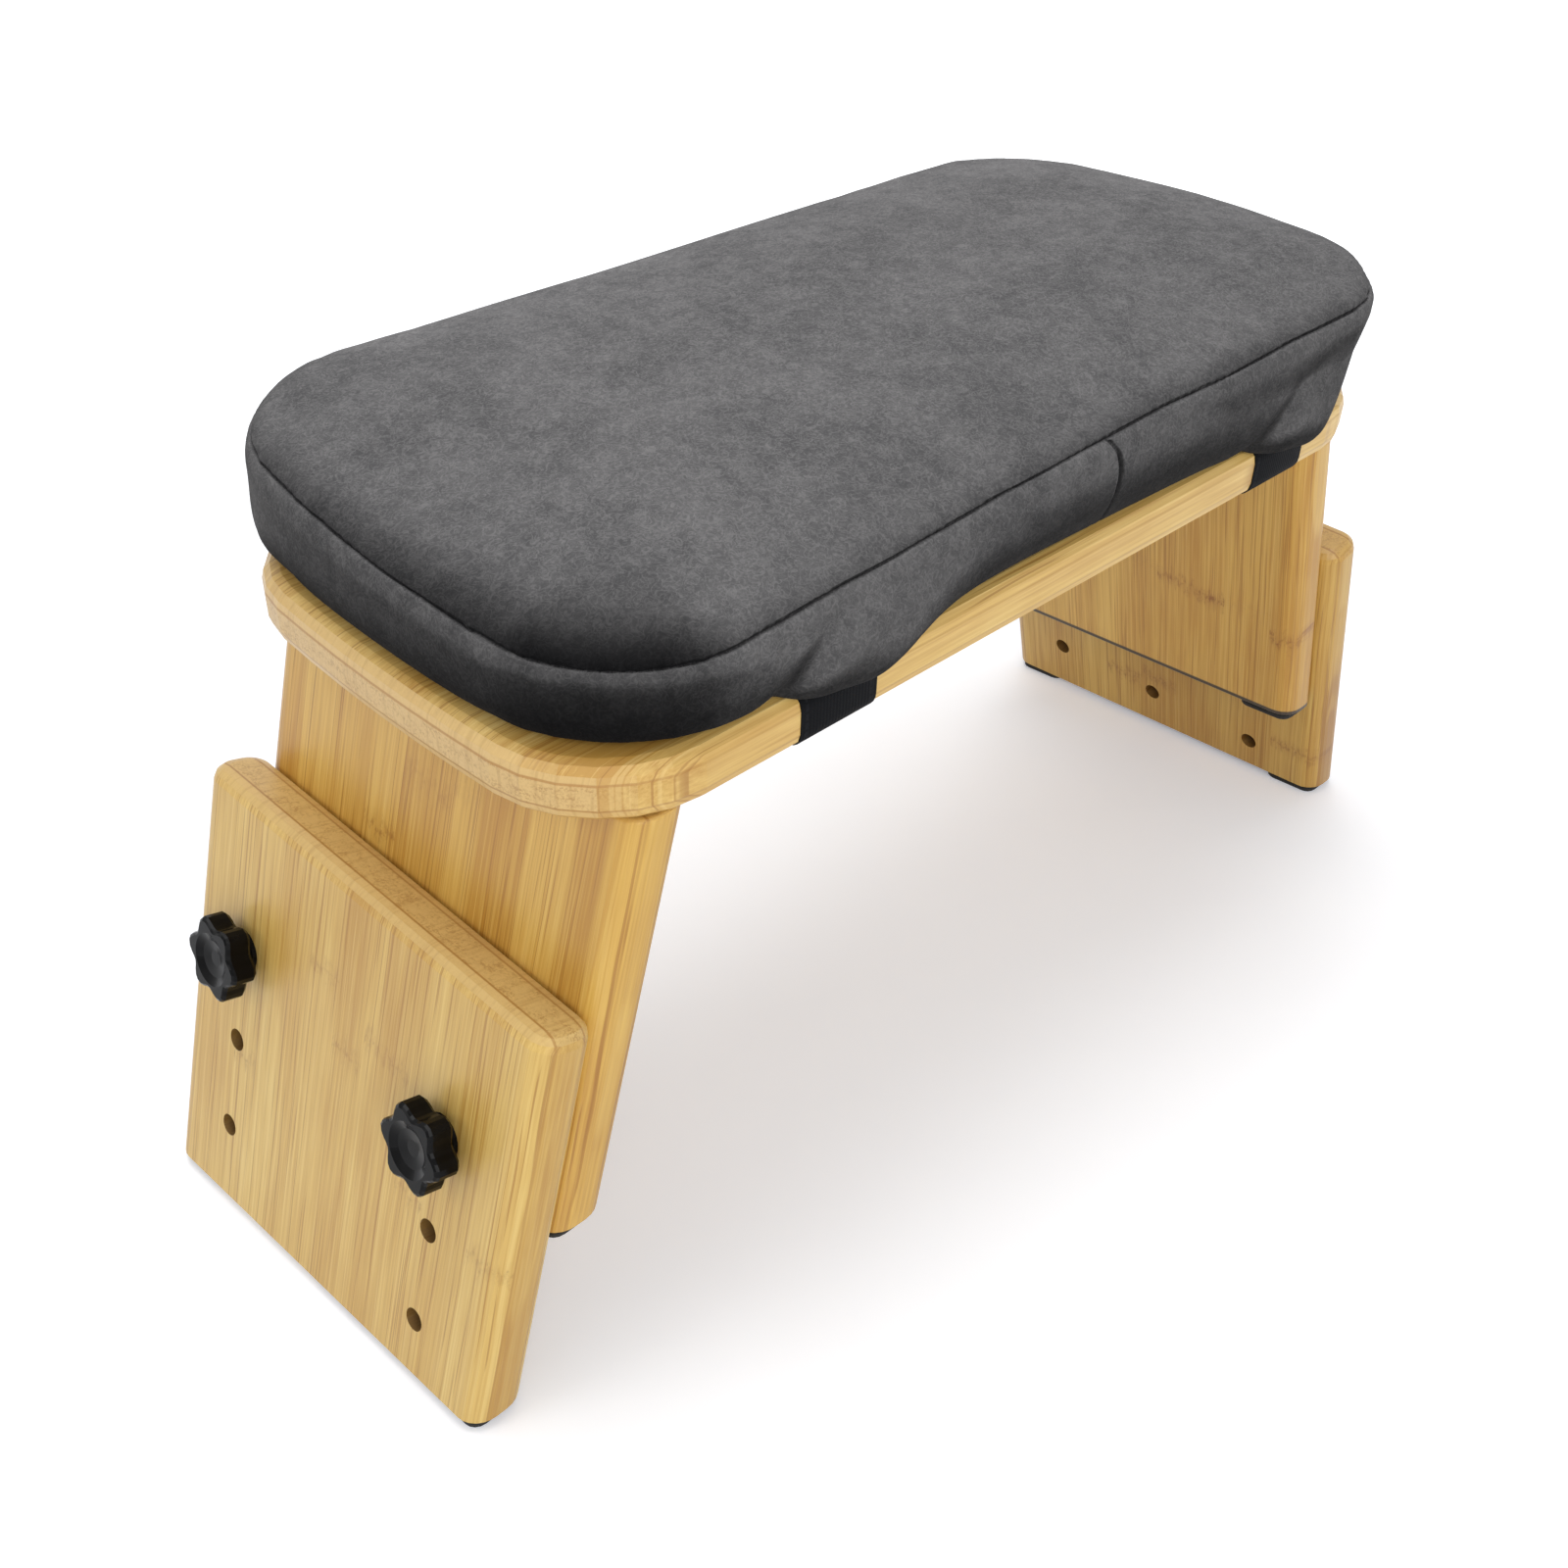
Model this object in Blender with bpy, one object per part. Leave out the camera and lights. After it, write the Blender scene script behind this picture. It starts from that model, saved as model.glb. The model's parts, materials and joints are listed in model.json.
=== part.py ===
"""A bamboo kneeling stool with a strapped-on cushion, folding legs and height panels held by knobs.

Units are metres and +Z is up. +X runs along the seat, -Y is its low front edge, and the floor is
z = 0 under the middle of the seat.
"""

from math import asin, cos, pi, radians, sin

import bmesh
import bpy
from mathutils import Matrix, Vector

# The whole stool
OVERALL_LENGTH = 0.540
UNDERSIDE_HEIGHT = 0.220
SEAT_TILT = radians(4.5)
LEG_SPLAY = radians(15.0)
GAP = 0.0003

# Seat plank
PLANK_LENGTH = 0.422
PLANK_DEPTH = 0.194
PLANK_THICKNESS = 0.020
PLANK_CORNER = 0.042
PLANK_END_BULGE = 0.006
PLANK_ROUNDING = 0.006

# Cushion
CUSHION_LENGTH = 0.4206
CUSHION_DEPTH = 0.2156
CUSHION_TO_BACK = 0.0066
CUSHION_TURN = radians(-0.84)
CUSHION_LEAN = 0.004
CUSHION_CORNER = 0.049
CUSHION_END_BULGE = 0.012
CUSHION_WAIST = 0.0037
CUSHION_BAND = 0.0392
CUSHION_RISE_TO_RIGHT = 0.0070
CUSHION_RISE_TO_BACK = 0.0031
CUSHION_TWIST = 0.0040
CUSHION_CROWN = 0.0157
CUSHION_CROWN_REACH = 0.094
CUSHION_CROWN_FULLNESS = 2.85
CUSHION_FOOT_INSET = 0.006
CUSHION_DRAW_IN = 0.0015
CUSHION_SEAM = 0.0008

# Straps round the plank
STRAP_WIDTH = 0.030
STRAP_THICKNESS = 0.0012
LEFT_STRAP_TO_HINGE = 0.021
RIGHT_STRAP_TO_HINGE = 0.001
STRAP_TOP_ANGLE = radians(48.0)

# Leg boards
LEG_WIDTH = 0.184
LEG_THICKNESS = 0.022
BOARD_EDGE_RADIUS = 0.009
BOARD_EASE = 0.0012

# Height panels and their holes
PANEL_OVERHANG = 0.003
PANEL_THICKNESS = 0.022
PANEL_LENGTH = 0.162
PANEL_TOP_ROUNDING = 0.005
HOLE_DIAMETER = 0.0085
HOLE_ROWS = 3
HOLE_PITCH = 0.039
LOWEST_ROW = 0.025
INSERT_TO_FOOT = 0.0336
COLUMN_FROM_EDGE = 0.0362
COLUMN_SHIFT = 0.0015

# Rubber pads under panels and legs
PAD_LENGTH = 0.026
PAD_WIDTH = 0.019
PAD_CORNER = 0.005
PAD_HEIGHT = 0.003
PAD_FROM_EDGE = 0.0025

# Knobs, studs, washers and inserts
STUD_DIAMETER = 0.0079
STUD_CHAMFER = 0.001
STUD_ENGAGEMENT = 0.013
KNOB_DIAMETER = 0.031
KNOB_HEAD = 0.0095
KNOB_HUB_DIAMETER = 0.016
KNOB_HUB = 0.0018
KNOB_SOCKET = 0.007
KNOB_LOBES = 6
KNOB_LOBE_DEPTH = 0.0034
KNOB_RIM = 0.0014
KNOB_DISH_DIAMETER = 0.0195
KNOB_DISH = 0.0022
WASHER_DIAMETER = 0.0165
WASHER_THICKNESS = 0.0016
INSERT_DIAMETER = 0.0115
INSERT_LENGTH = 0.016
INSERT_CHAMFER = 0.0008

# Butt hinges between the plank and the legs
HINGE_FROM_EDGE = 0.047
HINGE_WIDTH = 0.040
HINGE_LEAF = 0.016
HINGE_LEAF_THICKNESS = 0.0018
KNUCKLE_DIAMETER = 0.007
PIN_DIAMETER = 0.0035
PIN_HEAD_DIAMETER = 0.0052
PIN_HEAD = 0.0008
CENTRE_KNUCKLE = 0.0134

# Countersunk hinge screws
SCREW_HEAD_DIAMETER = 0.0058
SCREW_HEAD = 0.0014
SCREW_DIAMETER = 0.0030
SCREW_LENGTH = 0.012
SCREW_POINT = 0.0025
SCREW_TIP_DIAMETER = 0.0008
SCREW_SPACING = 0.024
SCREW_FROM_PIN = 0.0104

ROUND_SIDES = 20
SMALL_SIDES = 12
CORNER_STEPS = 6
KNOB_SIDES = 48
KNUCKLE_STEPS = 14

# Places that follow from the sizes above
KNUCKLE_RADIUS = KNUCKLE_DIAMETER / 2
PIN_OFFSET = KNUCKLE_RADIUS + GAP
LEG_OUTER_FACE = PIN_OFFSET + LEG_THICKNESS
PANEL_INNER_FACE = LEG_OUTER_FACE + GAP
PANEL_OUTER_FACE = PANEL_INNER_FACE + PANEL_THICKNESS
PANEL_WIDTH = LEG_WIDTH + 2 * PANEL_OVERHANG
SIDES = {"left": -1, "right": 1}
COLUMNS = {
    "front": COLUMN_SHIFT + COLUMN_FROM_EDGE - PANEL_WIDTH / 2,
    "back": COLUMN_SHIFT - COLUMN_FROM_EDGE + PANEL_WIDTH / 2,
}
HINGE_PLACES = {
    "front": HINGE_FROM_EDGE - LEG_WIDTH / 2,
    "back": LEG_WIDTH / 2 - HINGE_FROM_EDGE,
}
STRAP_TO_HINGE = {"left": LEFT_STRAP_TO_HINGE, "right": RIGHT_STRAP_TO_HINGE}


# Scene, frames and materials


def clear_scene():
    for thing in list(bpy.data.objects):
        bpy.data.objects.remove(thing)


def make_material(name, colour, roughness, metallic=0.0):
    material = bpy.data.materials.new(name)
    material.use_nodes = True
    shader = material.node_tree.nodes["Principled BSDF"]
    shader.inputs["Base Color"].default_value = (*colour, 1.0)
    shader.inputs["Roughness"].default_value = roughness
    shader.inputs["Metallic"].default_value = metallic
    return material


def make_materials():
    return {
        "bamboo": make_material("bamboo", (0.61, 0.41, 0.16), 0.45),
        "fabric": make_material("fabric", (0.115, 0.11, 0.115), 0.95),
        "webbing": make_material("webbing", (0.012, 0.012, 0.013), 0.8),
        "plastic": make_material("plastic", (0.010, 0.010, 0.011), 0.22),
        "rubber": make_material("rubber", (0.014, 0.014, 0.014), 0.75),
        "steel": make_material("steel", (0.56, 0.55, 0.53), 0.32, 1.0),
        "brass": make_material("brass", (0.72, 0.53, 0.23), 0.35, 1.0),
    }


def make_frame(name, parent, matrix):
    """An empty that holds a group of pieces, placed by matrix under its parent."""
    frame = bpy.data.objects.new(name, None)
    bpy.context.scene.collection.objects.link(frame)
    frame.parent = parent
    frame.matrix_local = matrix
    return frame


def place(name, mesh, frame, material, matrix=None):
    """Puts a mesh in the scene under a frame, in that frame's own axes."""
    piece = bpy.data.objects.new(name, mesh)
    bpy.context.scene.collection.objects.link(piece)
    piece.parent = frame
    piece.matrix_local = matrix or Matrix()
    if not mesh.materials:
        mesh.materials.append(material)
    mesh.shade_smooth()
    mesh.set_sharp_from_angle(angle=radians(32))
    return piece


# Meshes


def skin(name, loops, capped=True):
    """Joins loops of points, each as long as the next, into one closed surface."""
    shape = bmesh.new()
    rings = [[shape.verts.new(point) for point in loop] for loop in loops]
    pairs = list(zip(rings, rings[1:]))
    if capped:
        shape.faces.new(rings[0])
        shape.faces.new(rings[-1])
    else:
        pairs.append((rings[-1], rings[0]))
    for ring, following in pairs:
        for i in range(len(ring)):
            j = (i + 1) % len(ring)
            shape.faces.new((ring[i], ring[j], following[j], following[i]))
    bmesh.ops.recalc_face_normals(shape, faces=shape.faces)
    mesh = bpy.data.meshes.new(name)
    shape.to_mesh(mesh)
    shape.free()
    return mesh


def circle(radius, z, sides):
    return [
        (radius * cos(2 * pi * i / sides), radius * sin(2 * pi * i / sides), z)
        for i in range(sides)
    ]


def turned(name, profile, sides=ROUND_SIDES, capped=True):
    """A solid turned about Z from (radius, z) pairs. Uncapped, the profile closes on itself."""
    return skin(name, [circle(r, z, sides) for r, z in profile], capped)


def bar(name, low, high):
    """A plain rectangular solid between two corners."""
    (x0, y0, z0), (x1, y1, z1) = low, high
    outline = [(x0, y0), (x1, y0), (x1, y1), (x0, y1)]
    return skin(name, [[(x, y, z) for x, y in outline] for z in (z0, z1)])


def oblong(half_x, half_y, corner, bulge=0.0, waist=0.0, steps=CORNER_STEPS, side_steps=1):
    """A rounded rectangle whose ends can bulge and whose long sides can draw in at the middle."""
    corner = min(corner, 0.98 * half_x, 0.98 * half_y)
    centres = [(1, 1, 0), (-1, 1, 90), (-1, -1, 180), (1, -1, 270)]
    points = []
    for sx, sy, start in centres:
        for k in range(steps + 1):
            angle = radians(start + 90 * k / steps)
            x = sx * (half_x - corner) + corner * cos(angle)
            y = sy * (half_y - corner) + corner * sin(angle)
            points.append((x, y))
    smooth = []
    for i, (x0, y0) in enumerate(points):
        x1, y1 = points[(i + 1) % len(points)]
        straight = i % (steps + 1) == steps
        parts = side_steps if straight else 1
        smooth += [(x0 + (x1 - x0) * k / parts, y0 + (y1 - y0) * k / parts) for k in range(parts)]
    bent = []
    for x, y in smooth:
        along = x / half_x
        across = y / half_y
        bend_x = bulge * (1 - across * across) * along
        bend_y = waist * (0.5 + 0.5 * cos(pi * along)) * across
        bent.append((x + bend_x - bulge * along, y - bend_y))
    return bent


def rounded_edge(radius, steps):
    """(inset, drop) pairs round a quarter circle, from the flat face down to the side."""
    angles = [pi / 2 * k / steps for k in range(steps + 1)]
    return [(radius * (1 - sin(a)), radius * (1 - cos(a))) for a in angles]


def drill(mesh, tools):
    """A copy of a mesh with tools cut from it. Each tool is (mesh, matrix)."""
    body = bpy.data.objects.new("drilling", mesh)
    bpy.context.scene.collection.objects.link(body)
    helpers = []
    for tool, matrix in tools:
        helper = bpy.data.objects.new("tool", tool)
        bpy.context.scene.collection.objects.link(helper)
        helper.matrix_world = matrix
        helper.hide_render = True
        helper.display_type = "WIRE"
        modifier = body.modifiers.new("cut", "BOOLEAN")
        modifier.operation = "DIFFERENCE"
        modifier.solver = "EXACT"
        modifier.object = helper
        helpers.append(helper)
    bpy.context.view_layer.update()
    graph = bpy.context.evaluated_depsgraph_get()
    result = bpy.data.meshes.new_from_object(body.evaluated_get(graph))
    result.name = mesh.name
    for helper in [body, *helpers]:
        bpy.data.objects.remove(helper)
    return result


# Directions and levels


def along_x(x, y, z):
    """Turns a solid made along Z so that it points along +X from the given place."""
    return Matrix.Translation((x, y, z)) @ Matrix.Rotation(pi / 2, 4, "Y")


def along_y(y):
    """Turns a solid made along Z so that it points along +Y from the given place on that axis."""
    return Matrix.Translation((0, y, 0)) @ Matrix.Rotation(-pi / 2, 4, "X")


def level(frame, height, x, y):
    """The local z at which a point of this frame lies at a height above the floor."""
    world = frame.matrix_world
    rest = world[2][0] * x + world[2][1] * y + world[2][3]
    return (height - rest) / world[2][2]


def pin_distance():
    """How far the hinge pins stand from the middle, so that the stool has its overall length."""
    back = PANEL_WIDTH / 2 - BOARD_EDGE_RADIUS
    foot = (PAD_HEIGHT - UNDERSIDE_HEIGHT - back * sin(SEAT_TILT)) / cos(SEAT_TILT)
    drop = (foot + PIN_OFFSET - PANEL_OUTER_FACE * sin(LEG_SPLAY)) / cos(LEG_SPLAY)
    return OVERALL_LENGTH / 2 - PANEL_OUTER_FACE * cos(LEG_SPLAY) + drop * sin(LEG_SPLAY)


def underside(x):
    """The local z of the plank's underside in a leg's frame."""
    return (PIN_OFFSET - x * sin(LEG_SPLAY)) / cos(LEG_SPLAY)


def panel_foot(leg_frame):
    """The local z of a panel's foot at the middle of its thickness and width."""
    return level(leg_frame, PAD_HEIGHT, (PANEL_INNER_FACE + PANEL_OUTER_FACE) / 2, 0)


def row_height(leg_frame, row):
    """The local z of a row of holes: row 0 is the lowest."""
    return panel_foot(leg_frame) + LOWEST_ROW + row * HOLE_PITCH


def leg_foot_height(leg_frame):
    """The height above the floor of a leg's level foot, a set way below its inserts."""
    z = row_height(leg_frame, HOLE_ROWS - 1) - INSERT_TO_FOOT
    return (leg_frame.matrix_world @ Vector((PIN_OFFSET + LEG_THICKNESS / 2, 0, z))).z


# Seat


def plank_rings(z_low, z_high):
    edge = rounded_edge(PLANK_ROUNDING, 3)
    upper = [(inset, z_high - drop) for inset, drop in edge]
    lower = [(inset, z_low + drop) for inset, drop in reversed(edge)]
    for inset, z in upper + lower:
        outline = oblong(
            PLANK_LENGTH / 2 - inset,
            PLANK_DEPTH / 2 - inset,
            PLANK_CORNER - inset,
            bulge=PLANK_END_BULGE,
            side_steps=6,
        )
        yield [(x, y, z) for x, y in outline]


def make_plank(seat, hinge_lines, material):
    mesh = skin("seat_plank", list(plank_rings(0, PLANK_THICKNESS)))
    drills = []
    for hinge_line in hinge_lines:
        for y in screw_rows():
            drills.append((screw_mesh(GAP), hinge_line.matrix_local @ seat_screw_place(y)))
    place("seat_plank", drill(mesh, drills), seat, material)


def cushion_sections():
    """(inset, corner, share of the band, share of the crown) up the side and over the top."""
    side = [
        (CUSHION_FOOT_INSET, 0.0),
        (CUSHION_DRAW_IN, 0.08),
        (0.0, 0.24),
        (CUSHION_DRAW_IN, 0.60),
        (0.0, 0.92),
        (CUSHION_SEAM, 1.0),
    ]
    for inset, share in side:
        yield inset, CUSHION_CORNER - inset, share, 0.0
    for reach in (0.03, 0.08, 0.16, 0.30, 0.52, 1.0):
        corner = CUSHION_CORNER * (1 - 0.8 * reach)
        crown = 1 - (1 - reach) ** CUSHION_CROWN_FULLNESS
        yield CUSHION_CROWN_REACH * reach, corner, 1.0, crown


def band_height(x, y, crown):
    """The seam's height over the foot, lowest at the front left; across the crown it evens out."""
    along = x / (CUSHION_LENGTH / 2)
    across = y / (CUSHION_DEPTH / 2) * (1 - crown)
    twist = CUSHION_TWIST * along * across
    return CUSHION_BAND + CUSHION_RISE_TO_RIGHT * along + CUSHION_RISE_TO_BACK * across - twist


def cushion_place(x, y, band):
    """A point of the outline, leant to the right up the band, turned and moved to the back."""
    x += CUSHION_LEAN * band
    along = x * cos(CUSHION_TURN) - y * sin(CUSHION_TURN)
    across = x * sin(CUSHION_TURN) + y * cos(CUSHION_TURN)
    return along, across + CUSHION_TO_BACK


def make_cushion(seat, material):
    foot = PLANK_THICKNESS + GAP
    loops = []
    for inset, corner, band, crown in cushion_sections():
        outline = oblong(
            CUSHION_LENGTH / 2 - inset,
            CUSHION_DEPTH / 2 - inset,
            corner,
            bulge=CUSHION_END_BULGE,
            waist=CUSHION_WAIST,
            steps=9,
            side_steps=8,
        )
        rise = [band * band_height(x, y, crown) + crown * CUSHION_CROWN for x, y in outline]
        flat = [cushion_place(x, y, band) for x, y in outline]
        loops.append([(x, y, foot + z) for (x, y), z in zip(flat, rise)])
    place("cushion", skin("cushion", loops), seat, material)


def strap_path(lift):
    """(y, z) points from the front, under the plank and up the back, lift outside its surface."""
    y_centre = PLANK_DEPTH / 2 - PLANK_ROUNDING
    reach = PLANK_ROUNDING + lift
    z_top = PLANK_THICKNESS - PLANK_ROUNDING
    steps = 5
    rise = [STRAP_TOP_ANGLE * (1 - k / 3) for k in range(3)]
    upper = [(y_centre + reach * cos(a), z_top + reach * sin(a)) for a in rise]
    turn = [pi / 2 * k / steps for k in range(steps + 1)]
    lower = [(y_centre + reach * cos(a), PLANK_ROUNDING - reach * sin(a)) for a in turn]
    back = upper + lower
    front = [(-y, z) for y, z in reversed(back)]
    return back + front


def make_strap(side, seat, material):
    inside = HINGE_LEAF + STRAP_TO_HINGE[side] + STRAP_WIDTH / 2
    x = SIDES[side] * (pin_distance() - inside)
    inner = strap_path(GAP)
    outer = strap_path(GAP + STRAP_THICKNESS)
    loops = []
    for (y0, z0), (y1, z1) in zip(inner, outer):
        low, high = x - STRAP_WIDTH / 2, x + STRAP_WIDTH / 2
        loops.append([(low, y0, z0), (high, y0, z0), (high, y1, z1), (low, y1, z1)])
    name = f"strap_{side}"
    place(name, skin(name, loops), seat, material)


# Legs and panels


def board(name, faces, width, top, foot, rounding):
    """An upright board with round front and back edges, between two levels given as functions."""
    x0, x1 = faces
    half = (x1 - x0) / 2
    sections = [(inset, top, -drop) for inset, drop in rounded_edge(rounding, 3)]
    sections += [(0.0, foot, BOARD_EASE), (BOARD_EASE, foot, 0.0)]
    loops = []
    for inset, height, shift in sections:
        radius = BOARD_EDGE_RADIUS - inset
        outline = oblong(half - inset, width / 2 - inset, radius)
        centre = (x0 + x1) / 2
        loops.append([(centre + x, y, height(centre + x, y) + shift) for x, y in outline])
    return skin(name, loops)


def hole_cutter(length, diameter, sides=ROUND_SIDES):
    return turned("hole", [(diameter / 2, 0), (diameter / 2, length)], sides)


def make_leg(side, leg, material):
    foot_height = leg_foot_height(leg)
    mesh = board(
        f"leg_{side}",
        (PIN_OFFSET, LEG_OUTER_FACE),
        LEG_WIDTH,
        lambda x, y: underside(x) - GAP,
        lambda x, y: level(leg, foot_height, x, y),
        BOARD_EASE,
    )
    depth = INSERT_LENGTH + GAP
    drills = []
    for column in COLUMNS.values():
        socket = hole_cutter(depth + GAP, INSERT_DIAMETER + 2 * GAP)
        y = column * SIDES[side]
        drills.append((socket, along_x(LEG_OUTER_FACE - depth, y, row_height(leg, HOLE_ROWS - 1))))
    for y in screw_rows():
        drills.append((screw_mesh(GAP), leg_screw_place(y)))
    place(f"leg_{side}", drill(mesh, drills), leg, material)


def panel_holes(side):
    """(row, y) of each hole. The right panel has one more in the middle of its lowest row."""
    holes = [(row, y) for row in range(HOLE_ROWS) for y in COLUMNS.values()]
    if side == "right":
        holes.append((0, COLUMN_SHIFT))
    return holes


def make_panel(side, panel, leg, material):
    top = panel_foot(leg) + PANEL_LENGTH
    mesh = board(
        f"panel_{side}",
        (PANEL_INNER_FACE, PANEL_OUTER_FACE),
        PANEL_WIDTH,
        lambda x, y: top,
        lambda x, y: level(leg, PAD_HEIGHT, x, y),
        PANEL_TOP_ROUNDING,
    )
    drills = []
    for row, column in panel_holes(side):
        start = along_x(PANEL_INNER_FACE - GAP, column * SIDES[side], row_height(leg, row))
        drills.append((hole_cutter(PANEL_THICKNESS + 2 * GAP, HOLE_DIAMETER), start))
    place(f"panel_{side}", drill(mesh, drills), panel, material)


def pad_mesh():
    thick = PAD_HEIGHT - GAP
    ease = thick / 4
    loops = []
    for inset, z in ((ease, 0), (0, ease), (0, thick - ease), (ease, thick)):
        outline = oblong(PAD_WIDTH / 2 - inset, PAD_LENGTH / 2 - inset, PAD_CORNER - inset, steps=4)
        loops.append([(x, y, z) for x, y in outline])
    return skin("pad", loops)


def make_pads(kind, side, frame, leg, faces, width, foot_height, material):
    """Two flat pads under a board's level foot, near its front and back edges."""
    mesh = pad_mesh()
    x = sum(faces) / 2
    for end, sign in (("front", -1), ("back", 1)):
        y = sign * SIDES[side] * (width / 2 - PAD_FROM_EDGE - PAD_LENGTH / 2)
        on_foot = leg.matrix_world @ Vector((x, y, level(leg, foot_height, x, y)))
        spot = Matrix.Translation(on_foot - Vector((0, 0, PAD_HEIGHT)))
        local = frame.matrix_world.inverted() @ spot
        place(f"{kind}_pad_{side}_{end}", mesh, frame, material, local)


# Knobs


def knob_outline(inset, z):
    """One loop of the star head: lobes and valleys of the same width."""
    loop = []
    for i in range(KNOB_SIDES):
        angle = 2 * pi * i / KNOB_SIDES
        valley = (1 + cos(KNOB_LOBES * angle)) / 2
        radius = KNOB_DIAMETER / 2 - inset - KNOB_LOBE_DEPTH * valley
        loop.append((radius * cos(angle), radius * sin(angle), z))
    return loop


def knob_mesh():
    base = WASHER_THICKNESS + 2 * GAP
    socket = STUD_DIAMETER / 2 + GAP
    head = base + KNOB_HUB
    top = head + KNOB_HEAD
    hub = KNOB_HUB_DIAMETER / 2
    dish = KNOB_DISH_DIAMETER / 2
    loops = [
        circle(socket, base + KNOB_SOCKET + GAP, KNOB_SIDES),
        circle(socket, base, KNOB_SIDES),
        circle(hub, base, KNOB_SIDES),
        circle(hub, head, KNOB_SIDES),
        knob_outline(KNOB_RIM, head),
        knob_outline(0, head + KNOB_RIM),
        knob_outline(0, top - KNOB_RIM),
        knob_outline(KNOB_RIM / 3, top - KNOB_RIM / 3),
        knob_outline(KNOB_RIM, top),
        circle(dish, top, KNOB_SIDES),
        circle(0.7 * dish, top - 0.65 * KNOB_DISH, KNOB_SIDES),
        circle(0.3 * dish, top - KNOB_DISH, KNOB_SIDES),
    ]
    return skin("knob", loops)


def stud_mesh():
    radius = STUD_DIAMETER / 2
    tip = -(PANEL_THICKNESS + GAP + STUD_ENGAGEMENT)
    end = WASHER_THICKNESS + 2 * GAP + KNOB_SOCKET
    profile = [(radius - STUD_CHAMFER, tip), (radius, tip + STUD_CHAMFER), (radius, end)]
    return turned("stud", profile)


def washer_mesh():
    hole = STUD_DIAMETER / 2 + GAP
    rim = WASHER_DIAMETER / 2
    low, high = GAP, GAP + WASHER_THICKNESS
    return turned("washer", [(hole, low), (rim, low), (rim, high), (hole, high)], capped=False)


def insert_mesh():
    bore = STUD_DIAMETER / 2 + GAP
    rim = INSERT_DIAMETER / 2
    tip = [(bore, 0), (rim - INSERT_CHAMFER, 0), (rim, INSERT_CHAMFER)]
    return turned("insert", [*tip, (rim, INSERT_LENGTH), (bore, INSERT_LENGTH)], capped=False)


def make_knobs(side, panel, leg, materials):
    z = row_height(leg, HOLE_ROWS - 1)
    knob, stud, washer, insert = knob_mesh(), stud_mesh(), washer_mesh(), insert_mesh()
    for end, column in COLUMNS.items():
        y = column * SIDES[side]
        spot = f"{side}_{end}"
        frame = make_frame(f"knob_frame_{spot}", panel, along_x(PANEL_OUTER_FACE, y, z))
        place(f"washer_{spot}", washer, frame, materials["steel"])
        place(f"knob_{spot}", knob, frame, materials["plastic"])
        place(f"stud_{spot}", stud, frame, materials["steel"])
        seat_of_insert = along_x(LEG_OUTER_FACE - INSERT_LENGTH, y, z)
        place(f"insert_{spot}", insert, leg, materials["brass"], seat_of_insert)


# Hinges


def screw_rows():
    """The y of every hinge screw along one leg."""
    return [y + s * SCREW_SPACING / 2 for y in HINGE_PLACES.values() for s in (-1, 1)]


def screw_mesh(grow=0.0):
    """A countersunk wood screw along +Z from its flat head. grow makes its clearance hole."""
    head = SCREW_HEAD_DIAMETER / 2 + grow
    shank = SCREW_DIAMETER / 2 + grow
    start = -grow * 3 if grow else 0.0
    profile = [(head, start)] if grow else []
    profile += [
        (head, 0.0),
        (shank, SCREW_HEAD + grow / 2),
        (shank, SCREW_LENGTH - SCREW_POINT),
        (SCREW_TIP_DIAMETER / 2 + grow, SCREW_LENGTH + grow),
    ]
    return turned("screw", profile, 8)


def seat_screw_place(y):
    """A screw that goes up through the seat's leaf, in the frame of a hinge line."""
    return Matrix.Translation((-SCREW_FROM_PIN, y, KNUCKLE_RADIUS - HINGE_LEAF_THICKNESS))


def leg_screw_place(y):
    """A screw that goes outwards through the leg's leaf, in the frame of a leg."""
    return along_x(KNUCKLE_RADIUS - HINGE_LEAF_THICKNESS, y, -SCREW_FROM_PIN)


def knuckle_notches(owner):
    """(y from, y to) of the notches in a leaf: the leg's leaf keeps the middle knuckle."""
    edge, middle = HINGE_WIDTH / 2 + GAP, CENTRE_KNUCKLE / 2
    if owner == "seat":
        return [(-middle - GAP, middle + GAP)]
    return [(-edge, -middle), (middle, edge)]


def leaf_outline():
    """(x, z) points round a leaf's section: a flat plate that runs into its knuckle."""
    top, low = KNUCKLE_RADIUS, KNUCKLE_RADIUS - HINGE_LEAF_THICKNESS
    sweep = 1.5 * pi + asin(low / KNUCKLE_RADIUS)
    angles = [pi / 2 - sweep * k / KNUCKLE_STEPS for k in range(KNUCKLE_STEPS + 1)]
    knuckle = [(KNUCKLE_RADIUS * cos(a), KNUCKLE_RADIUS * sin(a)) for a in angles]
    return [(-HINGE_LEAF, low), (-HINGE_LEAF, top), *knuckle]


def leaf_mesh(owner):
    """A hinge leaf in the seat's attitude, with its pin line along Y through the origin."""
    half = HINGE_WIDTH / 2
    reach = KNUCKLE_RADIUS + 2 * GAP
    outline = leaf_outline()
    leaf = skin(f"hinge_{owner}_leaf", [[(x, y, z) for x, z in outline] for y in (-half, half)])
    bore = hole_cutter(HINGE_WIDTH + 4 * GAP, PIN_DIAMETER + 2 * GAP, SMALL_SIDES)
    tools = [(bore, along_y(-half - 2 * GAP))]
    for start, end in knuckle_notches(owner):
        tools.append((bar("notch", (-reach, start, -reach), (reach, end, reach)), Matrix()))
    for shift in (-SCREW_SPACING / 2, SCREW_SPACING / 2):
        tools.append((screw_mesh(GAP), seat_screw_place(shift)))
    return drill(leaf, tools)


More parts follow.
